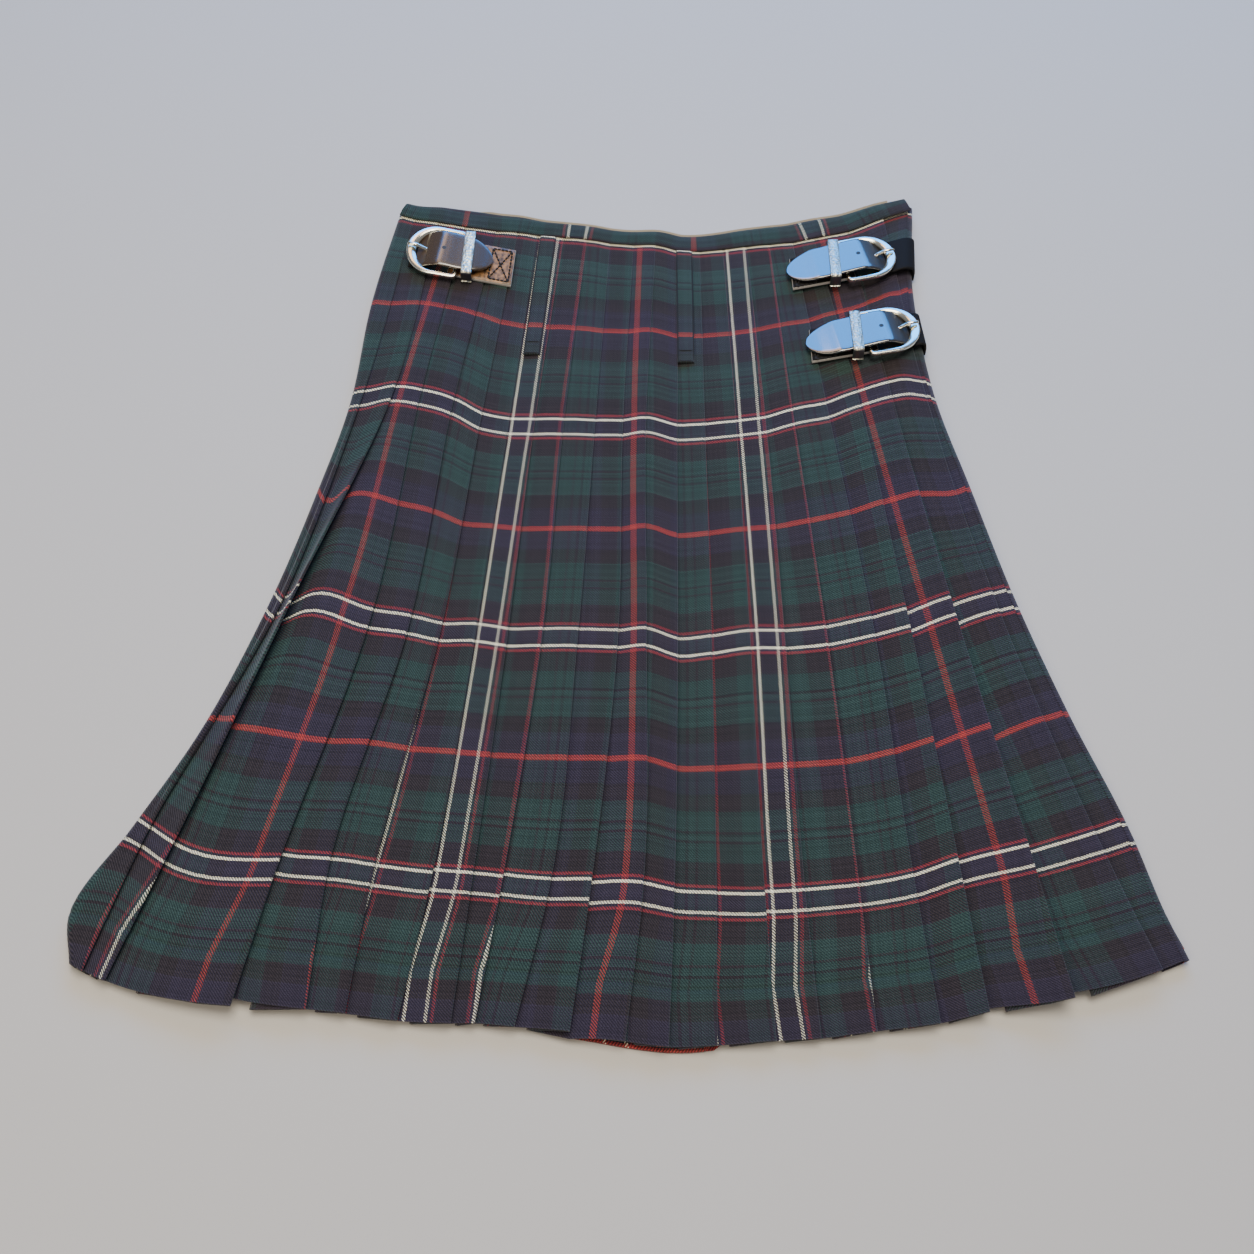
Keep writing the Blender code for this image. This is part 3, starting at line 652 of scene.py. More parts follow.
# %% Make the waistband
x = np.linspace(float(side(0, 1)) + 1.2, float(side(0, 3)) - 1.2, 241)
high = band_height(x)
level = fold_level(x, 0.0) + CLOTH + BAND_LIFT - 0.2
zero = 0 * x
wave = 0.25 * np.sin(x / 6.0) + 0.2 * np.sin(x / 14.0 + 1.0)
rises = np.array((zero + 1.2, zero + 1.5, zero + 3.0, high * 0.35, high * 0.6, high * 0.8,
                  high - 1.6, high - 0.5, high - 0.1, high))
heights = np.array((level - 0.5, level - 0.1, level, level + 0.5 + wave, level + 0.7 + wave,
                    level + 0.5 + wave, level, level - 0.9, level - 2.0, level - 3.2))
band_u = smooth_curve((-177.0, -124.5, -38.0, 52.3, 146.5, 224.0), (-52.5, 0.0, 86.5, 173.0, 259.5, 335.0), x)
band_foot = np.interp(x, (-177.0, 0.0, 150.0, 224.0), (62.0, 64.0, 67.0, 70.0))
band = strip("cloth_waistband", x, rises, heights, WALL, np.repeat(band_u[:, None], len(rises), 1),
             band_foot[:, None] - rises.T)
print("waistband", len(band.data.polygons), "faces")

# %% Make the lining's edge
x = np.linspace(float(side(0, 1)) + LINING_INSET, float(side(0, 3)) - LINING_INSET, 181)
high = band_height(x)
peek = LINING_PEEK - 3.5 * soft_step((-105.0 - x) / 20)
level = fold_level(x, 0.0) + CLOTH + BAND_LIFT
low = 0 * x + LINING_Z
rises = np.array((0 * x - 14.0, high - 5.0, high - 2.6, high - 1.0, high + peek - 0.9, high + peek))
heights = np.array((low, low, level - 6.4, level - 5.0, level - 2.5, level - 1.0)) - 0.1
lining = strip("cloth_lining", x, rises, heights, 0.8, np.repeat(x[:, None], len(rises), 1), rises.T)
print("lining", len(lining.data.polygons), "faces")

# %% [markdown]
# ## Sewing thread
# A seam's stitches are short humps of thread. They could be painted on, but from a step
# away they catch the light, so each is a thin tube along its own path. All the threads
# of a piece are one mesh, and each tube has only six sides.


# %% Make threads
def thread_object(name, paths, radius, matrix=None):
    """One mesh of thin threads: six points on a circle square to each path, smaller at its ends."""
    verts, faces, first = [], [], 0
    turn = np.radians(np.arange(0, 360, 60))
    for path in paths:
        path = np.asarray(path, float)
        ahead = np.gradient(path, axis=0)
        ahead = ahead / np.linalg.norm(ahead, axis=1, keepdims=True)
        sideways = np.cross(ahead, (0.0, 0.0, 1.0))
        sideways = sideways / np.linalg.norm(sideways, axis=1, keepdims=True)
        upward = np.cross(sideways, ahead)
        share = np.linspace(-1.0, 1.0, len(path))
        thick = radius * np.sqrt(np.maximum(1.0 - share**8, 0.05))[:, None, None]
        rings = path[:, None] + thick * (sideways[:, None] * np.cos(turn)[None, :, None]
                                         + upward[:, None] * np.sin(turn)[None, :, None])
        index = first + np.arange(len(path) * 6).reshape(-1, 6)
        around = np.concatenate((index, index[:, :1]), axis=1)
        faces.append(np.stack((around[:-1, :-1], around[:-1, 1:], around[1:, 1:], around[1:, :-1]),
                              axis=-1).reshape(-1, 4))
        verts.append(rings.reshape(-1, 3))
        first += len(path) * 6
    points = np.concatenate(verts)
    if matrix is not None:
        points = to_kilt(matrix, points)
    return keep(name, points, np.concatenate(faces))


def to_kilt(axes, points):
    """Points in a piece's own axes (any shape, 3) to the kilt's frame."""
    m = np.array(axes)
    points = np.asarray(points, float)
    return points @ m[:3, :3].T + m[:3, 3]


# %% [markdown]
# ## Belt loops
# Each loop is a folded strip laid down the sewn part of the pleats, stitched twice across its foot. A line of
# dark thread runs along each long edge; it is painted shade, standing for the shade line beside the loop's
# edges. It could be a stretched box, but the pleats below it aren't flat, so it is made from the cloth
# beneath it, moved out.


# %% Make the belt loops
LOOP_LONG = 105.0
LOOP_WIDE = 12.5
LOOP_RISE = CLOTH / 2 + SEAM
# The first two lines run along the long edges and are painted shade; the last two are the stitches across the
# foot.
LOOP_STITCHES_AND_EDGE_SHADE = (
    # start across, down       end across, down
    ((0.5, 2.0),               (0.5, LOOP_LONG)),
    ((LOOP_WIDE - 0.5, 2.0),   (LOOP_WIDE - 0.5, LOOP_LONG)),
    ((1.0, 94.5),              (LOOP_WIDE - 1.0, 94.5)),
    ((1.0, 104.2),             (LOOP_WIDE - 1.0, 104.2)),
)


def belt_loop(name, x_top, x_end, start):
    """A narrow wall over the highest cloth of each row, with eased long edges; also the paths of its foot
    stitches and of its two dark edge lines, which are painted shade.
    """
    distances = np.linspace(0.0, LOOP_LONG, 46)
    across = np.array((0.0, 0.05, 0.09, 0.2, 0.5, 0.8, 0.91, 0.95, 1.0))
    round_off = np.array((1.6, 0.8, 0.3, 0.0, 0.0, 0.0, 0.3, 0.8, 1.6))
    x = (x_top + (x_end - x_top) * distances / LOOP_LONG)[:, None] + LOOP_WIDE * across[None, :]
    y = np.stack([row_y(x[r], d) for r, d in enumerate(distances)])
    under = np.array([float(np.max(fold_level(x[r], d))) for r, d in enumerate(distances)])
    tuck = 0.5 * np.exp(-((distances - 98.0) / 3.0) ** 2)
    top = under[:, None] + LOOP_RISE + 1.7 - 0.8 * round_off[None, :] - tuck[:, None]
    low = under[:, None] + CLOTH / 2 + 0.05 + 0 * x
    place = np.stack((start + LOOP_WIDE * across[None, :] + 0 * x, distances[:, None] + 0 * x), axis=-1)
    loop = wall_object(name, np.stack((x, y, top), axis=-1), np.stack((x, y, low), axis=-1), place)
    # Paths of dark thread: two along the long edges as painted shade, two as stitches across the foot.
    stitches = []
    for first, last in LOOP_STITCHES_AND_EDGE_SHADE:
        count = max(6, int(abs(last[1] - first[1]) / 2.0))
        off = np.linspace(first[0], last[0], count)
        down = np.linspace(first[1], last[1], count)
        px = x_top + (x_end - x_top) * down / LOOP_LONG + off
        py = np.array([float(row_y(a, d)) for a, d in zip(px, down)])
        eased = np.clip(np.minimum(off, LOOP_WIDE - off) / 1.6, 0.0, 1.0)
        pz = np.interp(down, distances, under) + LOOP_RISE + 1.15 + 0.55 * eased
        stitches.append(np.column_stack((px, py, pz)))
    return loop, stitches


loop_left, left_lines = belt_loop("cloth_belt_loop_left", -66.0, -75.5, 30.0)
loop_right, right_lines = belt_loop("cloth_belt_loop_right", 38.5, 38.0, 28.5)
# The loops' thread: foot stitches, and dark edge lines that are painted shade.
loop_stitches_and_edge_shade = thread_object("thread_belt_loops_and_edge_shade", left_lines + right_lines, 0.42)
print("belt loops with", len(left_lines + right_lines), "lines of stitches")

# %% [markdown]
# ## Where each buckle sits
# A buckle has its own axes: a runs along the strap towards its tip, b across it and n
# out of the cloth. They are found from the pleats under it, as in the solids, so that
# each buckle is drawn once in simple numbers and lies as its own stretch of cloth does.

# %% Sizes of frames, keepers, straps and tabs
BUCKLES = (
    # name          x       y      heading  strap tip  tab end  round the side
    ("left", -166.0, 269.3, -10.0, 66.0, 82.0, False),
    ("right_upper", 204.3, 265.0, 192.0, 84.0, 80.5, True),
    ("right_lower", 216.4, 195.5, 190.7, 85.0, 81.5, True),
)
FRAME_HALF = 18.6
FRAME_ROD = 2.4
FRAME_EASE = 0.9
BAR = 40.5
KEEPER_AT = 47.5
KEEPER_WIDE = 8.0
KEEPER_LONG = 39.6
KEEPER_HIGH = 12.4
KEEPER_WALL = 1.5
STRAP_HALF = 15.7
STRAP_THICK = 2.4
TAB_HALF = 16.4
TAB_THICK = 2.4
TAB_START = 34.0
FOOT_START = 12.0
FOOT_LONG = 66.0
BUCKLE_TILT = 4.5
KEEPER_SKEW = {"left": 6.7, "right_upper": -12.0, "right_lower": -10.0}
FRAME_CENTRE = SEAM + TAB_THICK + SEAM + FRAME_ROD
CLEAR = 0.3
print("a frame's middle lies", round(FRAME_CENTRE, 1), "mm above the cloth")


# %% Find each buckle's place on the cloth
def distance_of(x, y):
    """How far down the cloth a point of the plan lies, from the weft lines."""
    steps = np.linspace(0.0, DROP, 121)
    ys = np.array([float(row_y(x, step)) for step in steps])
    return float(np.interp(-y, -ys, steps))


def cloth_top(x, y):
    """Height of the pleats' upper side at a point of the plan."""
    return float(fold_level(x, distance_of(x, y))) + CLOTH / 2


def buckle_axes(x, y, heading):
    """A matrix, in millimetres, from a, b and n to the kilt's frame: the plane on the cloth's two ends."""
    turn = math.radians(heading)
    along = Vector((math.cos(turn), math.sin(turn), 0))
    across = Vector((-math.sin(turn), math.cos(turn), 0))
    ends = []
    for a in (FOOT_START, FOOT_START + FOOT_LONG):
        foot = [Vector((x, y, 0)) + along * a + across * b for b in (-15.0, 0.0, 15.0)]
        ends.append(max(cloth_top(p.x, p.y) for p in foot))
    rise = (ends[1] - ends[0]) / FOOT_LONG
    axis_a = (along + Vector((0, 0, rise))).normalized()
    axis_n = axis_a.cross(across)
    middle = Vector((x, y, 0)) + along * (FOOT_START + FOOT_LONG / 2)
    slack = cloth_top(middle.x, middle.y) - (ends[0] + rise * FOOT_LONG / 2)
    origin = Vector((x, y, ends[0] - rise * FOOT_START + max(slack, 0.0) + 0.8))
    level = Matrix.Translation(origin) @ Matrix((axis_a, across, axis_n)).transposed().to_4x4()
    return level @ Matrix.Rotation(math.radians(BUCKLE_TILT), 4, "X")


def side_reach(axes, b):
    """How far out along -a the kilt's right edge lies."""
    a = 0.0
    for _ in range(6):
        point = axes @ Vector((a, b, 0))
        a += (float(side(distance_of(point.x, point.y), 3)) - point.x) / axes.col[0].x
    return -a


buckle_places = {row[0]: buckle_axes(*row[1:4]) for row in BUCKLES}
for buckle_name, axes in buckle_places.items():
    print("buckle", buckle_name, "lies", round(axes.translation.z, 1), "mm up")

# %% [markdown]
# ## Bent metal
# Frames, prongs and keepers are bars and strips of steel, bent or cast. A curve with
# a bevel object could draw them; here a profile is carried along a path in arrays,
# because the frame's width changes on the way. Each ring of points is the profile
# turned into the plane across the path.


# %% Sweep a profile along a closed or open path
def sweep(name, path, profile, cyclic, up=(0.0, 0.0, 1.0), scale=None, matrix=None):
    """Path point + across times sideways + up times upward, for each point of the profile; flat ends."""
    path = np.asarray(path, float)
    if cyclic:
        ahead = np.roll(path, -1, axis=0) - np.roll(path, 1, axis=0)
    else:
        ahead = np.gradient(path, axis=0)
    ahead = ahead / np.linalg.norm(ahead, axis=1, keepdims=True)
    sideways = np.cross(ahead, np.asarray(up, float))
    sideways = sideways / np.linalg.norm(sideways, axis=1, keepdims=True)
    upward = np.cross(sideways, ahead)
    size = np.ones((len(path), 2)) if scale is None else np.asarray(scale, float)
    profile = np.asarray(profile, float)
    rings = (path[:, None, :] + sideways[:, None, :] * profile[None, :, :1] * size[:, None, :1]
             + upward[:, None, :] * profile[None, :, 1:] * size[:, None, 1:])
    count, points = rings.shape[:2]
    index = np.arange(count * points).reshape(count, points)
    if cyclic:
        index = np.concatenate((index, index[:1]))
    around = np.concatenate((index, index[:, :1]), axis=1)
    quads = np.stack((around[:-1, :-1], around[1:, :-1], around[1:, 1:], around[:-1, 1:]), axis=-1)
    verts = rings.reshape(-1, 3)
    if matrix is not None:
        verts = to_kilt(matrix, verts)
    obj = keep(name, verts, quads.reshape(-1, 4))
    bm = bmesh.new()
    bm.from_mesh(obj.data)
    if not cyclic:
        bmesh.ops.holes_fill(bm, edges=[e for e in bm.edges if e.is_boundary])
    bmesh.ops.recalc_face_normals(bm, faces=bm.faces)
    for face in bm.faces:
        face.smooth = True
    bm.to_mesh(obj.data)
    bm.free()
    obj.data.set_sharp_from_angle(angle=math.radians(38))
    return obj


# %% [markdown]
# ## Buckle frames
# The frame is a D of cast metal: a flat face, a bevel on its inner side, and a bow that
# is wider at its middle than the two arms.

# %% Draw the buckle frame
FRAME_PROFILE = ((-0.5, -0.9), (-0.42, -1.5), (0.42, -1.5), (0.5, -0.9), (0.5, 0.9), (0.44, 1.4),
                 (0.36, 1.6), (-0.06, 1.75), (-0.14, 1.65), (-0.44, 0.7), (-0.5, 0.4))
ARM_WIDE = 4.4
BOW_WIDER = 2.8
ARM_END_WIDE = 3.8
BAR_WIDE = 3.4


def buckle_frame(name, axes):
    """The D: a half circle with two straight arms, closed by the bar."""
    outer_half = FRAME_HALF + FRAME_ROD + FRAME_EASE
    turn = np.radians(np.linspace(90.0, 270.0, 49))
    wide = ARM_WIDE + BOW_WIDER * np.abs(np.cos(turn)) ** 1.5
    radius = outer_half - wide / 2
    bow = np.stack((outer_half + radius * np.cos(turn), radius * np.sin(turn)), axis=-1)
    arm_half = outer_half - ARM_WIDE / 2
    arm = np.stack((np.linspace(outer_half + 1.5, BAR - 1.5, 10), np.full(10, -arm_half)), axis=-1)
    corner = np.array(((BAR - 0.4, -arm_half + 0.4), (BAR, -arm_half + 1.5)))
    bar = np.stack((np.full(9, BAR), np.linspace(-arm_half + 3, arm_half - 3, 9)), axis=-1)
    flat = np.concatenate((bow, arm, corner, bar, (corner * (1, -1))[::-1], (arm * (1, -1))[::-1]))
    points = np.column_stack((flat, np.full(len(flat), FRAME_CENTRE)))
    thinner = np.linspace(ARM_WIDE, ARM_END_WIDE, len(arm))
    wide = np.concatenate((wide, thinner, np.full(len(bar) + 2 * len(corner), BAR_WIDE), thinner[::-1]))
    return sweep(name, points, FRAME_PROFILE, True, scale=np.column_stack((wide, 1 + 0 * wide)), matrix=axes)


# %% [markdown]
# ## Prongs and keepers
# A prong is a round pin that rises through the strap's hole and rests on the bow. A
# keeper is a flat strip bent round strap and tab, open underneath where it is hidden.


# %% Draw the prong
def buckle_prong(name, axes):
    """The prong: a rod along a curve in a and n that rises through the strap and tapers."""
    tip = FRAME_CENTRE + FRAME_ROD + CLEAR + 1.2
    knot = np.array(((BAR - 3.0, FRAME_CENTRE), (18.0, FRAME_CENTRE), (12.5, FRAME_CENTRE + 1.6), (7.0, tip),
                     (3.0, tip + 0.2), (0.6, tip - 0.6)))
    a = smooth_curve(np.arange(6), knot[:, 0], np.linspace(0, 5, 31))
    n = smooth_curve(np.arange(6), knot[:, 1], np.linspace(0, 5, 31))
    angle = np.radians(np.arange(0, 360, 36))
    profile = np.stack((1.2 * np.cos(angle), 1.55 * np.sin(angle)), axis=-1)
    scale = np.interp(np.linspace(0, 1, 31), (0.0, 0.7, 0.96, 1.0), (1.0, 1.0, 0.8, 0.5))
    return sweep(name, np.column_stack((a, 0 * a, n)), profile, False, up=(0.0, 1.0, 0.0),
                 scale=np.column_stack((scale, scale)), matrix=axes)


# %% Draw the keeper
def rounded_loop(half_b, low, high, radius, steps=6):
    """A rectangle in b and n whose four corners are quarter circles."""
    points = []
    for cb, cn, start in ((half_b - radius, high - radius, 0.0), (-half_b + radius, high - radius, 90.0),
                          (-half_b + radius, low + radius, 180.0), (half_b - radius, low + radius, 270.0)):
        for angle in np.radians(np.linspace(start, start + 90.0, steps)):
            points.append((cb + radius * math.cos(angle), cn + radius * math.sin(angle)))
    return np.array(points)


def buckle_keeper(name, axes, skew):
    """A flat strip carried round a rounded rectangle without its foot; it sits a little askew."""
    middle = Matrix.Translation((KEEPER_AT, 0, 0))
    askew = axes @ middle @ Matrix.Rotation(math.radians(skew), 4, "Z") @ middle.inverted()
    loop = rounded_loop(KEEPER_LONG / 2 - KEEPER_WALL / 2, CLEAR + 0.3, KEEPER_HIGH - KEEPER_WALL / 2, 1.2)
    open_part = loop[loop[:, 1] > CLEAR + 0.31]
    order = np.argsort(-np.arctan2(open_part[:, 0], open_part[:, 1] + 40.0))
    line = open_part[order]
    foot = CLEAR + 0.9
    line = np.concatenate(([[line[0, 0], foot]], line, [[line[-1, 0], foot]]))
    dense = []
    for first, second in zip(line[:-1], line[1:]):
        count = max(1, int(np.linalg.norm(second - first) / 1.2))
        dense.append(first + (second - first) * np.linspace(0, 1, count, endpoint=False)[:, None])
    dense = np.concatenate(dense + [line[-1:]])
    points = np.column_stack((np.full(len(dense), KEEPER_AT), dense))
    w, t = KEEPER_WIDE / 2, KEEPER_WALL / 2
    profile = ((-w, -t + 0.3), (-w + 0.3, -t), (w - 0.3, -t), (w, -t + 0.3), (w, t - 0.45), (w - 0.6, t),
               (-w + 0.6, t), (-w, t - 0.45))
    return sweep(name, points, np.array(profile)[:, ::-1], False, up=(1.0, 0.0, 0.0), matrix=askew)


# %% [markdown]
# ## Leather
# A strap is a thick ribbon: its middle line rises from under the frame, humps over
# the bar and lies down to a pointed tip. Across it the section has eased edges. A
# bevelled curve would give it one width all along, so it is a walled grid instead,
# whose half width closes in an ellipse at the tip.


# %% Draw a strap
STRAP_EASE = 0.9


def strap_line(tip, round_side, axes):
    """The strap's middle line as a and n, as in the solids, drawn with many points."""
    flat = CLEAR - 0.1 + STRAP_THICK / 2
    over = FRAME_CENTRE + FRAME_ROD + CLEAR + STRAP_THICK / 2
    rest = CLEAR + TAB_THICK + CLEAR + STRAP_THICK / 2
    points = [(4.0, flat), (9.0, flat + 0.3), (13.0, flat + 2.2), (17.0, flat + 5.2), (21.5, over - 0.4),
              (26.5, over + 1.3), (32.0, over + 1.3), (39.0, over + 0.7), (47.5, over), (55.0, over - 0.7)]
    if tip > 70.0:
        points += [(62.0, (over + rest) / 2 + 1.4), (69.0, rest + 2.2), (76.0, rest + 0.9),
                   (tip - 4.0, rest + 0.3), (tip, rest)]
    else:
        points[-1:] = [(53.0, over - 0.8), (59.0, over - 2.4), (tip - 3.0, over - 3.8), (tip, over - 4.4)]
    if round_side:
        floor = -axes.translation.z
        side_a = -(side_reach(axes, 0.0) + CLOTH / 2 + CLEAR + STRAP_THICK / 2 - STRAP_EASE)
        start = [(side_a, floor + 1.8), (side_a, floor * 0.66), (side_a + 0.1, floor * 0.3),
                 (side_a + 1.3, flat - 1.4), (side_a + 4.0, flat + 0.3)]
        points = start + [p for p in points if p[0] > side_a + 6.0]
    points = np.array(points)
    run = np.concatenate(([0.0], np.cumsum(np.linalg.norm(np.diff(points, axis=0), axis=1))))
    count = int(run[-1] / 0.8)
    at = np.linspace(0.0, run[-1], count)
    return np.column_stack((smooth_curve(run, points[:, 0], at), smooth_curve(run, points[:, 1], at))), at


def leather_strap(name, tip, round_side, axes):
    """A ribbon with eased edges whose half width closes in an ellipse at the tip."""
    line, at = strap_line(tip, round_side, axes)
    lean = 0.0
    if round_side:
        lean = (side_reach(axes, -STRAP_HALF) - side_reach(axes, STRAP_HALF)) / (2 * STRAP_HALF)
    taper = np.clip((at[-1] - at) / 27.0, 0.0, 1.0)
    half = STRAP_HALF * np.maximum(np.sqrt(1 - (1 - taper) ** 2), 0.03)
    across = np.array((-1.0, -0.985, -0.95, -0.88, -0.7, -0.4, 0.0, 0.4, 0.7, 0.88, 0.95, 0.985, 1.0))
    ease = np.array((0.75, 0.35, 0.1, 0.0, 0.0, 0.0, 0.0, 0.0, 0.0, 0.0, 0.1, 0.35, 0.75))
    top, low = offset_path(line[None], STRAP_THICK - 0.1)
    normal = (top[0] - low[0]) / (STRAP_THICK - 0.1)
    grids = []
    for base, sign in ((top[0], -1.0), (low[0], 1.0)):
        b = half[:, None] * across[None, :]
        a = base[:, 0, None] + normal[:, 0, None] * sign * ease[None, :]
        n = base[:, 1, None] + normal[:, 1, None] * sign * ease[None, :]
        a = a + b * lean * soft_step((10.0 - line[:, 0]) / 16)[:, None]
        grids.append(to_kilt(axes, np.stack((a, b, n), axis=-1)))
    place = np.stack((line[:, :1] + 0 * grids[0][..., 0], half[:, None] * across[None, :]), axis=-1)
    return wall_object(name, grids[0], grids[1], place)


# %% [markdown]
# ## Tabs
# The tab under each buckle is a plain leather patch. It holds the frame's bar in a
# fold and is sewn on through the pleats: a box of stitches crossed with an X.


# %% Draw a tab and its stitches
def leather_tab(name, end, axes, shear):
    """A rectangle sheared by b times shear towards its end; its top droops at the edges."""
    rim = np.array((0.0, 0.25, 0.8))
    near = TAB_HALF - 2.0 * (shear > 0)
    a = np.concatenate((TAB_START + rim, np.linspace(TAB_START + 3, end - 3, 24), end - rim[::-1]))
    b = np.concatenate((-TAB_HALF + rim, np.linspace(-TAB_HALF + 3, near - 3, 16), near - rim[::-1]))
    grid_a, grid_b = np.meshgrid(a, b, indexing="ij")
    edge = np.minimum(np.minimum(grid_a - a[0], a[-1] - grid_a), np.minimum(grid_b - b[0], b[-1] - grid_b))
    droop = 0.7 * np.exp(-edge / 0.45)
    grid_a = grid_a + shear * grid_b * (grid_a - a[0]) / (a[-1] - a[0])
    high = np.stack((grid_a, grid_b, CLEAR + TAB_THICK - droop), axis=-1)
    low = np.stack((grid_a, grid_b, CLEAR - 0.2 + 0 * droop), axis=-1)
    return wall_object(name, to_kilt(axes, high), to_kilt(axes, low), np.stack((grid_a, grid_b), axis=-1))


def tab_stitches(name, end, axes, shear):
    """Stitches of dark thread, about 3 mm each: a box near the tab's end, and a cross in it."""
    half_b = TAB_HALF - 2.6
    corners = [(end - 17.5, -half_b), (end - 2.5, -half_b), (end - 2.5, half_b), (end - 17.5, half_b)]
    lines = list(zip(corners, corners[1:] + corners[:1]))
    lines += [(corners[0], corners[2]), (corners[1], corners[3])]
    paths = []
    for first, last in lines:
        first, last = np.array(first), np.array(last)
        count = max(2, round(float(np.linalg.norm(last - first)) / 3.0))
        for k in range(count):
            share = (k + np.array((0.02, 0.25, 0.75, 0.98))) / count
            flat = first + (last - first) * share[:, None]
            flat[:, 0] += shear * flat[:, 1] * (flat[:, 0] - TAB_START) / (end - TAB_START)
            paths.append(np.column_stack((flat, CLEAR + TAB_THICK + np.array((-0.15, 0.2, 0.2, -0.15)))))
    return thread_object(name, paths, 0.7, axes)


# %% Make the three buckles with their straps and tabs
SHEAR_LEFT = -0.09
SHEAR_RIGHT = 0.18
pieces = {"frames": [], "prongs": [], "keepers": [], "straps": [], "tabs": [], "stitches": []}
for buckle_name, *_, tip, tab_end, round_side in BUCKLES:
    axes = buckle_places[buckle_name]
    shear = SHEAR_RIGHT if round_side else SHEAR_LEFT
    tab = leather_tab("leather_tab_" + buckle_name, tab_end, axes, shear)
    stitches = tab_stitches("thread_tab_" + buckle_name, tab_end, axes, shear)
    buckle = buckle_frame("metal_buckle_" + buckle_name, axes)
    prong = buckle_prong("metal_prong_" + buckle_name, axes)
    keeper = buckle_keeper("metal_keeper_" + buckle_name, axes, KEEPER_SKEW[buckle_name])
    strap = leather_strap("leather_strap_" + buckle_name, tip, round_side, axes)
    pieces["tabs"].append((tab, "tab_" + buckle_name))
    pieces["stitches"].append(stitches)
    pieces["frames"].append((buckle, "buckle_" + buckle_name))
    pieces["prongs"].append((prong, "prong_" + buckle_name))
    pieces["keepers"].append((keeper, "keeper_" + buckle_name))
    pieces["straps"].append((strap, "strap_" + buckle_name))
    print(buckle_name, "strap", len(strap.data.polygons), "faces, frame", len(buckle.data.polygons))

# %% [markdown]
# ## The tartan
# A tartan is one list of thread colours, its sett, used both ways and mirrored at each
# pivot. Half the sett, from the red pivot to the middle of the two white lines, goes
# into a stepped colour ramp; a ping-pong of the distance along the threads mirrors it.
# A painted picture would do too, but this stays sharp at any size.

# %% The sett and its colours
HALF_SETT = (
    # from millimetre  colour
    (0.0, "red"), (1.7, "navy"), (16.97, "black"), (28.3, "green"), (41.1, "black"), (42.8, "green"),
    (47.1, "black"), (48.7, "green"), (61.1, "black"), (75.1, "crimson"), (77.05, "navy"), (79.05, "white"),
    (80.9, "navy"),
)
THREAD = {
    "red": (0.36, 0.048, 0.046, 1.0),
    "crimson": (0.25, 0.035, 0.046, 1.0),
    "navy": (0.036, 0.029, 0.048, 1.0),
    "black": (0.031, 0.025, 0.029, 1.0),
    "green": (0.029, 0.055, 0.051, 1.0),
    "white": (0.92, 0.87, 0.66, 1.0),
}
print("half a sett:", ", ".join(colour for _, colour in HALF_SETT))


# %% Start a group, do a sum, mix two colours
def new_group(name, inputs, outputs):
    """An empty shader group with named sockets."""
    group = bpy.data.node_groups.new(name, "ShaderNodeTree")
    for label, kind in inputs:
        group.interface.new_socket(label, in_out="INPUT", socket_type=kind)
    for label, kind in outputs:
        group.interface.new_socket(label, in_out="OUTPUT", socket_type=kind)
    return group, group.nodes.new("NodeGroupInput"), group.nodes.new("NodeGroupOutput")


def math_node(tree, operation, *values):
    """A Math node fed with sockets or plain numbers; returns its output."""
    node = tree.nodes.new("ShaderNodeMath")
    node.operation = operation
    for socket, value in zip(node.inputs, values):
        if isinstance(value, (int, float)):
            socket.default_value = value
        else:
            tree.links.new(value, socket)
    return node.outputs[0]


def mix_colour(tree, factor, first, second, blend="MIX"):
    """A Mix node for colours; returns its output."""
    node = tree.nodes.new("ShaderNodeMix")
    node.data_type = "RGBA"
    node.blend_type = blend
    for socket, value in ((node.inputs[0], factor), (node.inputs[6], first), (node.inputs[7], second)):
        if isinstance(value, (int, float, tuple)):
            socket.default_value = value
        else:
            tree.links.new(value, socket)
    return node.outputs[2]


# %% Noise, ranges, greys and the thread map
def noise(tree, place, scale, detail=2.0):
    """A Noise texture over a place; returns its value."""
    node = tree.nodes.new("ShaderNodeTexNoise")
    node.inputs["Scale"].default_value = scale
    node.inputs["Detail"].default_value = detail
    tree.links.new(place, node.inputs["Vector"])
    return node.outputs[0]


def map_range(tree, value, first, last, low=0.0, high=1.0):
    """A Map Range node: first to last becomes low to high, and no further."""
    node = tree.nodes.new("ShaderNodeMapRange")
    tree.links.new(value, node.inputs["Value"])
    for label, number in (("From Min", first), ("From Max", last), ("To Min", low), ("To Max", high)):
        node.inputs[label].default_value = number
    return node.outputs[0]


def grey(tree, value):
    """A grey whose three channels are one value."""
    node = tree.nodes.new("ShaderNodeCombineColor")
    for socket in node.inputs[:3]:
        tree.links.new(value, socket)
    return node.outputs[0]


def thread_map(tree):
    """The piece's own map: metres along the weft and down the warp."""
    node = tree.nodes.new("ShaderNodeUVMap")
    node.uv_map = "threads"
    return node.outputs[0]


# %% Build the sett's group
sett, sett_in, sett_out = new_group("sett", [("Distance", "NodeSocketFloat")],
                                    [("Colour", "NodeSocketColor")])
along = math_node(sett, "PINGPONG", sett_in.outputs["Distance"], SETT / 2 * MM)
along = math_node(sett, "DIVIDE", along, SETT / 2 * MM)
ramp = sett.nodes.new("ShaderNodeValToRGB")
ramp.color_ramp.interpolation = "CONSTANT"
for number, (start, colour) in enumerate(HALF_SETT):
    if number < 2:
        stop = ramp.color_ramp.elements[number]
        stop.position = start / (SETT / 2)
    else:
        stop = ramp.color_ramp.elements.new(start / (SETT / 2))
    stop.color = THREAD[colour]
sett.links.new(along, ramp.inputs[0])
sett.links.new(ramp.outputs[0], sett_out.inputs["Colour"])

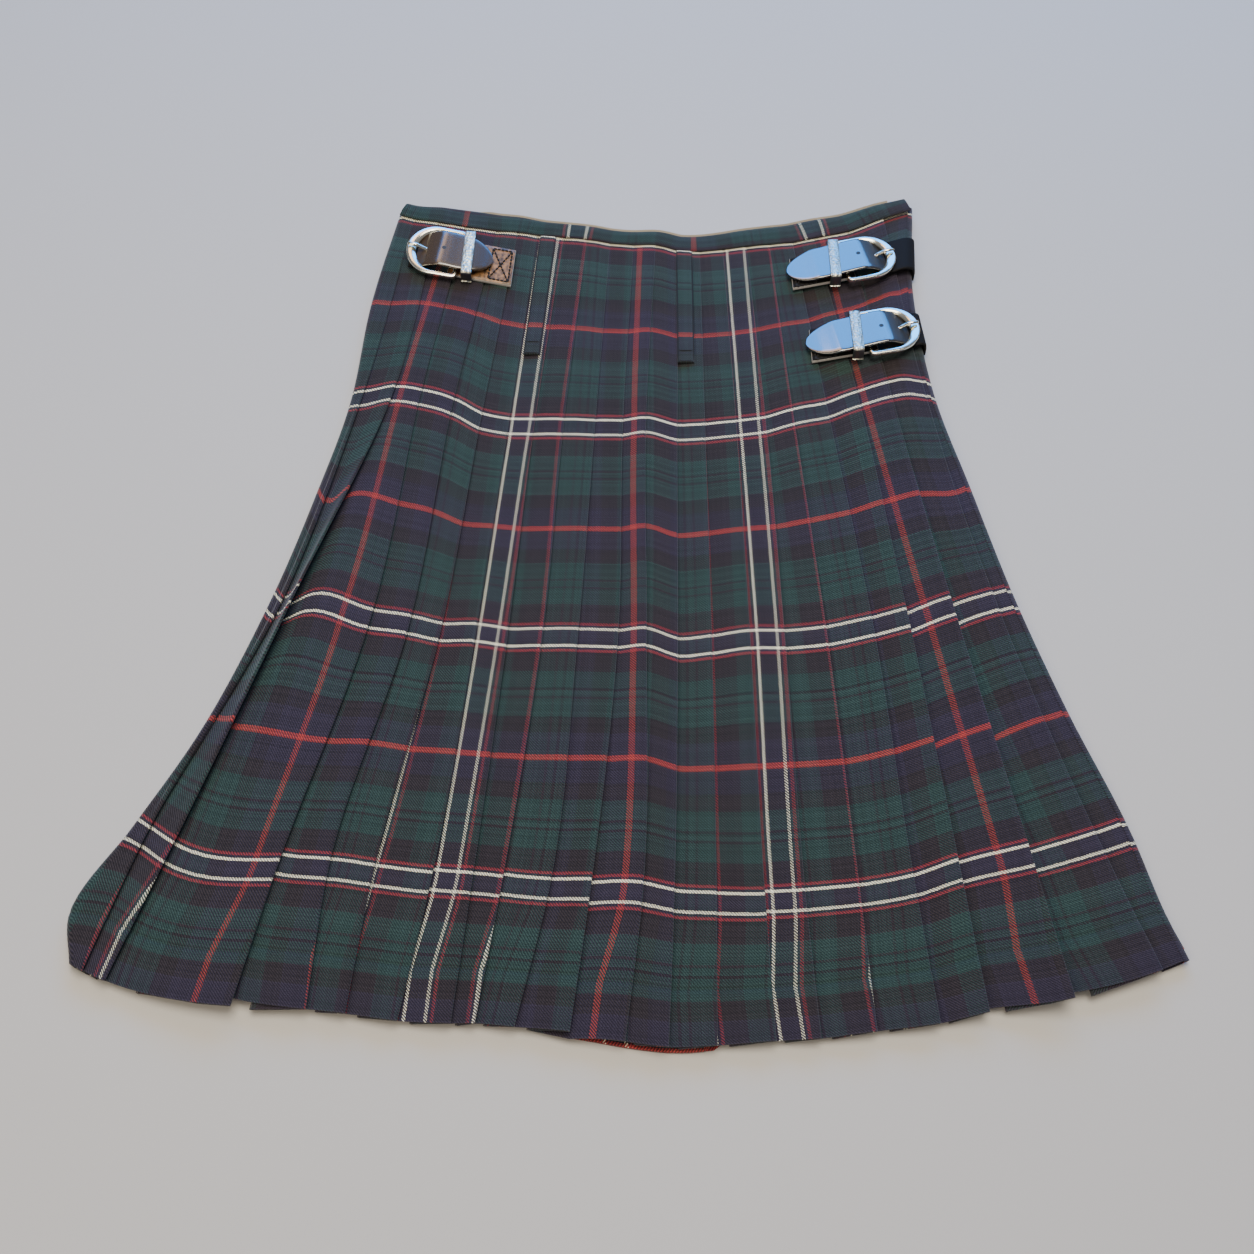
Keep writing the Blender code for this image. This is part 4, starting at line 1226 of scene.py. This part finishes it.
# %% [markdown]
# ## The twill
# Warp and weft take turns on top. In a twill each turn is one thread further along, so fine diagonal ribs run
# over the cloth. The rib is a sine of the difference of the two distances: it chooses which thread shows and
# raises the ribs. Beside each rib it also paints a lighter and a darker stripe into the colour, which is
# painted highlight and painted shade in the grooves. Single threads differ a little in tone, and a fine noise
# stands for the wool's nap.

# %% Build the twill's group
TWILL = 1.85
THREAD_PITCH = TWILL / 4
WOBBLE = 0.7

twill, twill_in, twill_out = new_group(
    "tartan_twill",
    [("Threads", "NodeSocketVector"), ("Weft Start", "NodeSocketFloat")],
    [("Colour", "NodeSocketColor"), ("Height", "NodeSocketFloat")])
split = twill.nodes.new("ShaderNodeSeparateXYZ")
twill.links.new(twill_in.outputs["Threads"], split.inputs[0])
wobble = math_node(twill, "MULTIPLY_ADD", noise(twill, twill_in.outputs["Threads"], 260.0),
                   WOBBLE * MM, -WOBBLE / 2 * MM)
along_weft = math_node(twill, "ADD", split.outputs[0], wobble)
down_warp = math_node(twill, "ADD", split.outputs[1], wobble)
down_warp = math_node(twill, "ADD", down_warp, twill_in.outputs["Weft Start"])
colours = []
for distance in (along_weft, down_warp):
    node = twill.nodes.new("ShaderNodeGroup")
    node.node_tree = sett
    twill.links.new(distance, node.inputs[0])
    index = math_node(twill, "FLOOR", math_node(twill, "DIVIDE", distance, THREAD_PITCH * MM))
    hair = twill.nodes.new("ShaderNodeTexWhiteNoise")
    hair.noise_dimensions = "1D"
    twill.links.new(index, hair.inputs["W"])
    shade = math_node(twill, "MULTIPLY_ADD", hair.outputs[0], 0.6, 0.7)
    colours.append(mix_colour(twill, 1.0, node.outputs[0], grey(twill, shade), "MULTIPLY"))
warp_colour, weft_colour = colours

diagonal = math_node(twill, "SUBTRACT", split.outputs[0], split.outputs[1])
wave_at = math_node(twill, "MULTIPLY", math_node(twill, "ADD", diagonal, wobble), 2 * math.pi / (TWILL * MM))
rib = math_node(twill, "SINE", wave_at)
over_under = map_range(twill, rib, 0.2, 0.6, 0.05, 0.92)
weft_channels = twill.nodes.new("ShaderNodeSeparateColor")
twill.links.new(weft_colour, weft_channels.inputs[0])
bright = math_node(twill, "MINIMUM", math_node(twill, "MULTIPLY", weft_channels.outputs[0], 2.2), 1.0)
covered = math_node(twill, "MULTIPLY_ADD", bright, -0.2, 1.0)
warp_share = math_node(twill, "MULTIPLY", over_under, covered)
woven = mix_colour(twill, warp_share, weft_colour, warp_colour)

nap = noise(twill, twill_in.outputs["Threads"], 1600.0, 1.0)
# Painted shade and highlight along the ribs, times the nap's random tone.
rib_shade_and_nap = math_node(twill, "MULTIPLY_ADD", math_node(twill, "COSINE", wave_at), 0.5, 0.96)
rib_shade_and_nap = math_node(twill, "MULTIPLY", rib_shade_and_nap, math_node(twill, "MULTIPLY_ADD", nap, 1.6, 0.2))
shaded = mix_colour(twill, 1.0, woven, grey(twill, rib_shade_and_nap), "MULTIPLY")
twill.links.new(shaded, twill_out.inputs["Colour"])
twill.links.new(math_node(twill, "MULTIPLY_ADD", rib, 0.5, 0.5), twill_out.inputs["Height"])
print("twill ribs", TWILL, "mm apart, in", len(twill.nodes), "nodes")

# %% [markdown]
# ## Cloth finishes
# Worsted wool is dull with a faint sheen. Both tartans are the same cloth: the band's
# piece only starts at another line of the sett. The lining is plain pale cotton.


# %% Make the cloth materials
def new_material(name, rough, metal=0.0, colour=None):
    """A material with a Principled shader; returns the tree and the shader too."""
    made = bpy.data.materials.new(name)
    made.use_nodes = True
    shader = made.node_tree.nodes["Principled BSDF"]
    shader.inputs["Roughness"].default_value = rough
    shader.inputs["Metallic"].default_value = metal
    if colour:
        shader.inputs["Base Color"].default_value = (*colour, 1.0)
    return made, made.node_tree, shader


def add_bump(tree, shader, height, distance, strength):
    """A Bump node between a height and the shader's normal."""
    bump = tree.nodes.new("ShaderNodeBump")
    bump.inputs["Distance"].default_value = distance
    bump.inputs["Strength"].default_value = strength
    tree.links.new(height, bump.inputs["Height"])
    tree.links.new(bump.outputs[0], shader.inputs["Normal"])


def tartan(name, weft_start):
    """Tartan worsted: the twill's colour, its ribs as bump, and a dull sheen."""
    made, tree, shader = new_material(name, 0.9)
    node = tree.nodes.new("ShaderNodeGroup")
    node.node_tree = twill
    node.inputs["Weft Start"].default_value = weft_start * MM
    tree.links.new(thread_map(tree), node.inputs["Threads"])
    tree.links.new(node.outputs["Colour"], shader.inputs["Base Color"])
    add_bump(tree, shader, node.outputs["Height"], 0.0003, 0.6)
    shader.inputs["Specular IOR Level"].default_value = 0.15
    shader.inputs["Sheen Weight"].default_value = 0.2
    shader.inputs["Sheen Roughness"].default_value = 0.5
    return made


cloth_finish = tartan("tartan_worsted", -80.0)
band_finish = tartan("tartan_worsted_band", 0.0)

lining_finish, tree, shader = new_material("cotton_lining", 0.8)
weave = noise(tree, thread_map(tree), 1400.0)
tree.links.new(mix_colour(tree, weave, (0.48, 0.40, 0.30, 1.0), (0.72, 0.64, 0.52, 1.0)),
               shader.inputs["Base Color"])
thread_finish, tree, shader = new_material("thread_dark", 0.8, colour=(0.012, 0.011, 0.012))
print("cloth finishes", cloth_finish.name, band_finish.name, lining_finish.name, thread_finish.name)

# %% [markdown]
# ## Leather finishes
# Strap leather is black with a thin gloss on top, which is the shader's coat. The gloss has been bent and
# rubbed away towards the bow, so the coat's weight fades there. A punched hole could be cut, but a disc of
# black without gloss looks the same from a step away: the black is painted shade for the hole's depth. The
# left strap is worn browner and duller than the two on the right.


# %% Make the leather materials
HOLE_AT = 29.0
HOLE_RADIUS = 1.6


def strap_leather(name, dark, pale, coat, coat_rough, fade):
    """Strap leather: fine grain, a punched hole drawn as a black disc of painted shade, and a coat that fades
    between two places along it.
    """
    made, tree, shader = new_material(name, 0.22)
    place = thread_map(tree)
    grain = noise(tree, place, 900.0, 4.0)
    spot = tree.nodes.new("ShaderNodeVectorMath")
    spot.operation = "DISTANCE"
    spot.inputs[1].default_value = (HOLE_AT * MM, 0.0, 0.0)
    tree.links.new(place, spot.inputs[0])
    # The hole: a disc of black without gloss, painted shade for its depth.
    hole_shade = math_node(tree, "LESS_THAN", spot.outputs["Value"], HOLE_RADIUS * MM)
    leather = mix_colour(tree, hole_shade, mix_colour(tree, grain, dark, pale), (0.0, 0.0, 0.0, 1.0))
    tree.links.new(leather, shader.inputs["Base Color"])
    add_bump(tree, shader, grain, 0.00003, 0.12)
    split = tree.nodes.new("ShaderNodeSeparateXYZ")
    tree.links.new(place, split.inputs[0])
    glossy = map_range(tree, split.outputs[0], fade[0] * MM, fade[1] * MM)
    shine = math_node(tree, "MULTIPLY", glossy, math_node(tree, "SUBTRACT", 1.0, hole_shade))
    tree.links.new(math_node(tree, "MULTIPLY", shine, coat), shader.inputs["Coat Weight"])
    tree.links.new(math_node(tree, "MULTIPLY_ADD", shine, -0.35, 0.6), shader.inputs["Roughness"])
    shader.inputs["Coat Roughness"].default_value = coat_rough
    shader.inputs["Coat IOR"].default_value = 2.3
    shader.inputs["IOR"].default_value = 1.7
    return made


leather_finish = strap_leather("leather_black_polished", (0.008, 0.007, 0.007, 1.0),
                               (0.022, 0.018, 0.016, 1.0), 1.0, 0.1, (17.0, 27.5))
worn_finish = strap_leather("leather_black_worn", (0.010, 0.006, 0.003, 1.0),
                            (0.085, 0.045, 0.019, 1.0), 0.45, 0.2, (12.0, 17.0))
# Dull black leather for the straps' ends beyond the frames; on the right tabs it is painted shade.
dull_black_and_tab_shade_finish, tree, shader = new_material("leather_black_dull_and_tab_shade", 0.7, colour=(0.012, 0.011, 0.011))
shader.inputs["Specular IOR Level"].default_value = 0.12
tab_edge_finish, tree, shader = new_material("leather_cut_edge", 0.7, colour=(0.50, 0.47, 0.43))

tab_finish, tree, shader = new_material("leather_tab", 0.35)
patchy = math_node(tree, "MULTIPLY_ADD", noise(tree, thread_map(tree), 300.0), 3.0, -1.0)
tan = mix_colour(tree, patchy, (0.07, 0.04, 0.02, 1.0), (0.42, 0.21, 0.08, 1.0))
tree.links.new(tan, shader.inputs["Base Color"])
print("leather finishes", leather_finish.name, worn_finish.name, dull_black_and_tab_shade_finish.name, tab_finish.name)

# %% [markdown]
# ## Metal finishes
# Frames and prongs are polished steel. The keepers' faces are hammered: a cell pattern darkens them in small
# spots and dents them through a bump. Their sides are a dark, dull steel, and the darkness is painted shade.

# %% Make the metal materials
steel_finish, tree, shader = new_material("polished_steel", 0.16, 1.0, (0.88, 0.86, 0.74))
# The keepers' sides: a dark steel that is painted shade.
keeper_side_shade_finish, tree, shader = new_material("steel_side_painted_shade", 0.45, 1.0, (0.22, 0.22, 0.22))

keeper_finish, tree, shader = new_material("hammered_steel", 0.34, 1.0)
place = tree.nodes.new("ShaderNodeTexCoord")
pits = tree.nodes.new("ShaderNodeTexVoronoi")
pits.inputs["Scale"].default_value = 620.0
tree.links.new(place.outputs["Object"], pits.inputs["Vector"])
depth = math_node(tree, "MULTIPLY", pits.outputs["Distance"], 1.5)
spotted = mix_colour(tree, depth, (1.0, 0.98, 0.86, 1.0), (0.58, 0.56, 0.46, 1.0))
tree.links.new(spotted, shader.inputs["Base Color"])
add_bump(tree, shader, pits.outputs["Distance"], 0.0005, 0.9)
print("metal finishes", steel_finish.name, keeper_side_shade_finish.name, keeper_finish.name)

# %% [markdown]
# ## Put the pieces in place
# Each new piece gets its material, rides on the kilt's one body and hides the plain solid that it stands for.
# Sewing thread has no solid, so it gets its material and rides along.


# %% Ride, replace and give the materials
def dress(obj, finish, slot, *nodes):
    """Give a piece its material, and let it stand for its solids."""
    obj.data.materials.clear()
    obj.data.materials.append(finish)
    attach(obj, "root")
    if nodes:
        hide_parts(*nodes)


dress(back, cloth_finish, "tartan", "pleated_back")
dress(over, cloth_finish, "tartan", "over_apron")
dress(under, cloth_finish, "tartan", "under_apron")
dress(over_band, cloth_finish, "tartan", "waistband_over_apron")
dress(under_band, cloth_finish, "tartan", "waistband_under_apron")
dress(band, band_finish, "tartan", "waistband_back")
dress(lining, lining_finish, "lining", "lining_back")
dress(loop_left, cloth_finish, "tartan", "belt_loop_left")
dress(loop_right, cloth_finish, "tartan", "belt_loop_right")
for kind, finish, slot in (("tabs", tab_finish, "leather"), ("frames", steel_finish, "steel"),
                           ("prongs", steel_finish, "steel"), ("keepers", keeper_finish, "steel"),
                           ("straps", leather_finish, "leather")):
    for obj, node in pieces[kind]:
        dress(obj, finish, slot, node)
for obj in pieces["stitches"]:
    dress(obj, thread_finish, None)
dress(loop_stitches_and_edge_shade, thread_finish, None)

# %% [markdown]
# ## Edges and ends
# A cut edge of leather is paler than its face. A keeper's sides are darker and duller than its top, which is
# painted shade. The straps' ends beyond the frames have no gloss. The right tabs are the same dull black,
# which on them is painted shade, since they lie in shadow under their straps. These could be separate pieces,
# but a second material on chosen faces keeps each piece whole. Faces are chosen by where they look, or by how
# far along the strap they lie.


# %% Give edges and ends their own finish
SIDE_LOOK = 0.8
TOP_LOOK = 0.5
GLOSS_START = 8.0


def second_finish(obj, finish, chosen):
    """Give the chosen faces another finish."""
    obj.data.materials.append(finish)
    index = np.where(chosen, len(obj.data.materials) - 1, 0).astype(np.int32)
    obj.data.polygons.foreach_set("material_index", index)


def face_values(obj):
    """Each face's normal, and its middle place in the thread map."""
    count = len(obj.data.polygons)
    normal = np.empty(count * 3, np.float32)
    obj.data.polygons.foreach_get("normal", normal)
    place = np.zeros((count, 2))
    if obj.data.uv_layers:
        uv = np.empty(len(obj.data.loops) * 2, np.float32)
        obj.data.uv_layers[0].data.foreach_get("uv", uv)
        place = uv.reshape(count, -1, 2).mean(axis=1) / MM
    return normal.reshape(-1, 3), place


for obj, node in pieces["tabs"]:
    normal, place = face_values(obj)
    # The right tabs take the dull black instead of tan leather: painted shade, as they lie in shadow under
    # their straps.
    if obj.name != "leather_tab_left":
        obj.data.materials[0] = dull_black_and_tab_shade_finish
    second_finish(obj, tab_edge_finish, np.abs(normal[:, 2]) < SIDE_LOOK)
for obj, node in pieces["keepers"]:
    normal, place = face_values(obj)
    # The keepers' side faces take the dark steel: painted shade.
    second_finish(obj, keeper_side_shade_finish, normal[:, 2] < TOP_LOOK)
for obj, node in pieces["straps"]:
    normal, place = face_values(obj)
    if obj.name == "leather_strap_left":
        obj.data.materials[0] = worn_finish
    second_finish(obj, dull_black_and_tab_shade_finish, place[:, 0] < GLOSS_START)
print("two finishes on", len(pieces["tabs"]) * 3, "pieces")

# %% [markdown]
# ## The cloth pieces
# A pleated back is a folded sheet more than three times as wide as the waist.

# %% [markdown]
# ## Floor and light
# A plain pale floor and soft lights. The largest is a blue one beyond the waist, low
# enough to be seen mirrored in the right straps. A warm ceiling lights the cloth, and
# a small lamp warms the left strap. Sun lamps would draw hard shadows between pleats.

# %% Floor and lights
FLOOR_HALF = 2.0
floor_mesh = bpy.data.meshes.new("floor")
corners = [(x * FLOOR_HALF, y * FLOOR_HALF, 0.0) for x, y in ((-1, -1), (1, -1), (1, 1), (-1, 1))]
floor_mesh.from_pydata(corners, [], [(0, 1, 2, 3)])
floor = bpy.data.objects.new("floor", floor_mesh)
bpy.context.scene.collection.objects.link(floor)
floor_finish, tree, shader = new_material("floor_pale", 0.7, colour=(0.62, 0.60, 0.57))
floor_mesh.materials.append(floor_finish)


def soft_light(name, place, target, size, power, colour):
    """A rectangular area light that looks at a target."""
    data = bpy.data.lights.new(name, "AREA")
    data.shape = "RECTANGLE"
    data.size, data.size_y = size
    data.energy = power
    data.color = colour
    obj = bpy.data.objects.new(name, data)
    bpy.context.scene.collection.objects.link(obj)
    obj.location = place
    obj.rotation_euler = (Vector(target) - Vector(place)).to_track_quat("-Z", "Y").to_euler()


soft_light("sky", (0.28, 1.79, 1.16), (0.2, 0.25, 0.0), (2.3, 1.05), 48.0, (0.04, 0.34, 1.0))
soft_light("ceiling", (0.1, 0.2, 2.2), (0.0, 0.0, 0.0), (1.2, 1.2), 46.0, (1.0, 0.90, 0.74))
soft_light("room", (-0.9, -0.9, 1.4), (0.0, 0.0, 0.0), (0.9, 0.9), 9.0, (1.0, 0.84, 0.6))
soft_light("lamp", (-0.38, 1.24, 1.51), (-0.15, 0.27, 0.0), (0.45, 0.45), 2.4, (1.0, 0.60, 0.28))
world = bpy.data.worlds.new("studio")
world.use_nodes = True
world.node_tree.nodes["Background"].inputs[0].default_value = (0.9, 0.93, 1.0, 1.0)
world.node_tree.nodes["Background"].inputs[1].default_value = 0.2
bpy.context.scene.world = world
print("lights", len(bpy.data.lights))
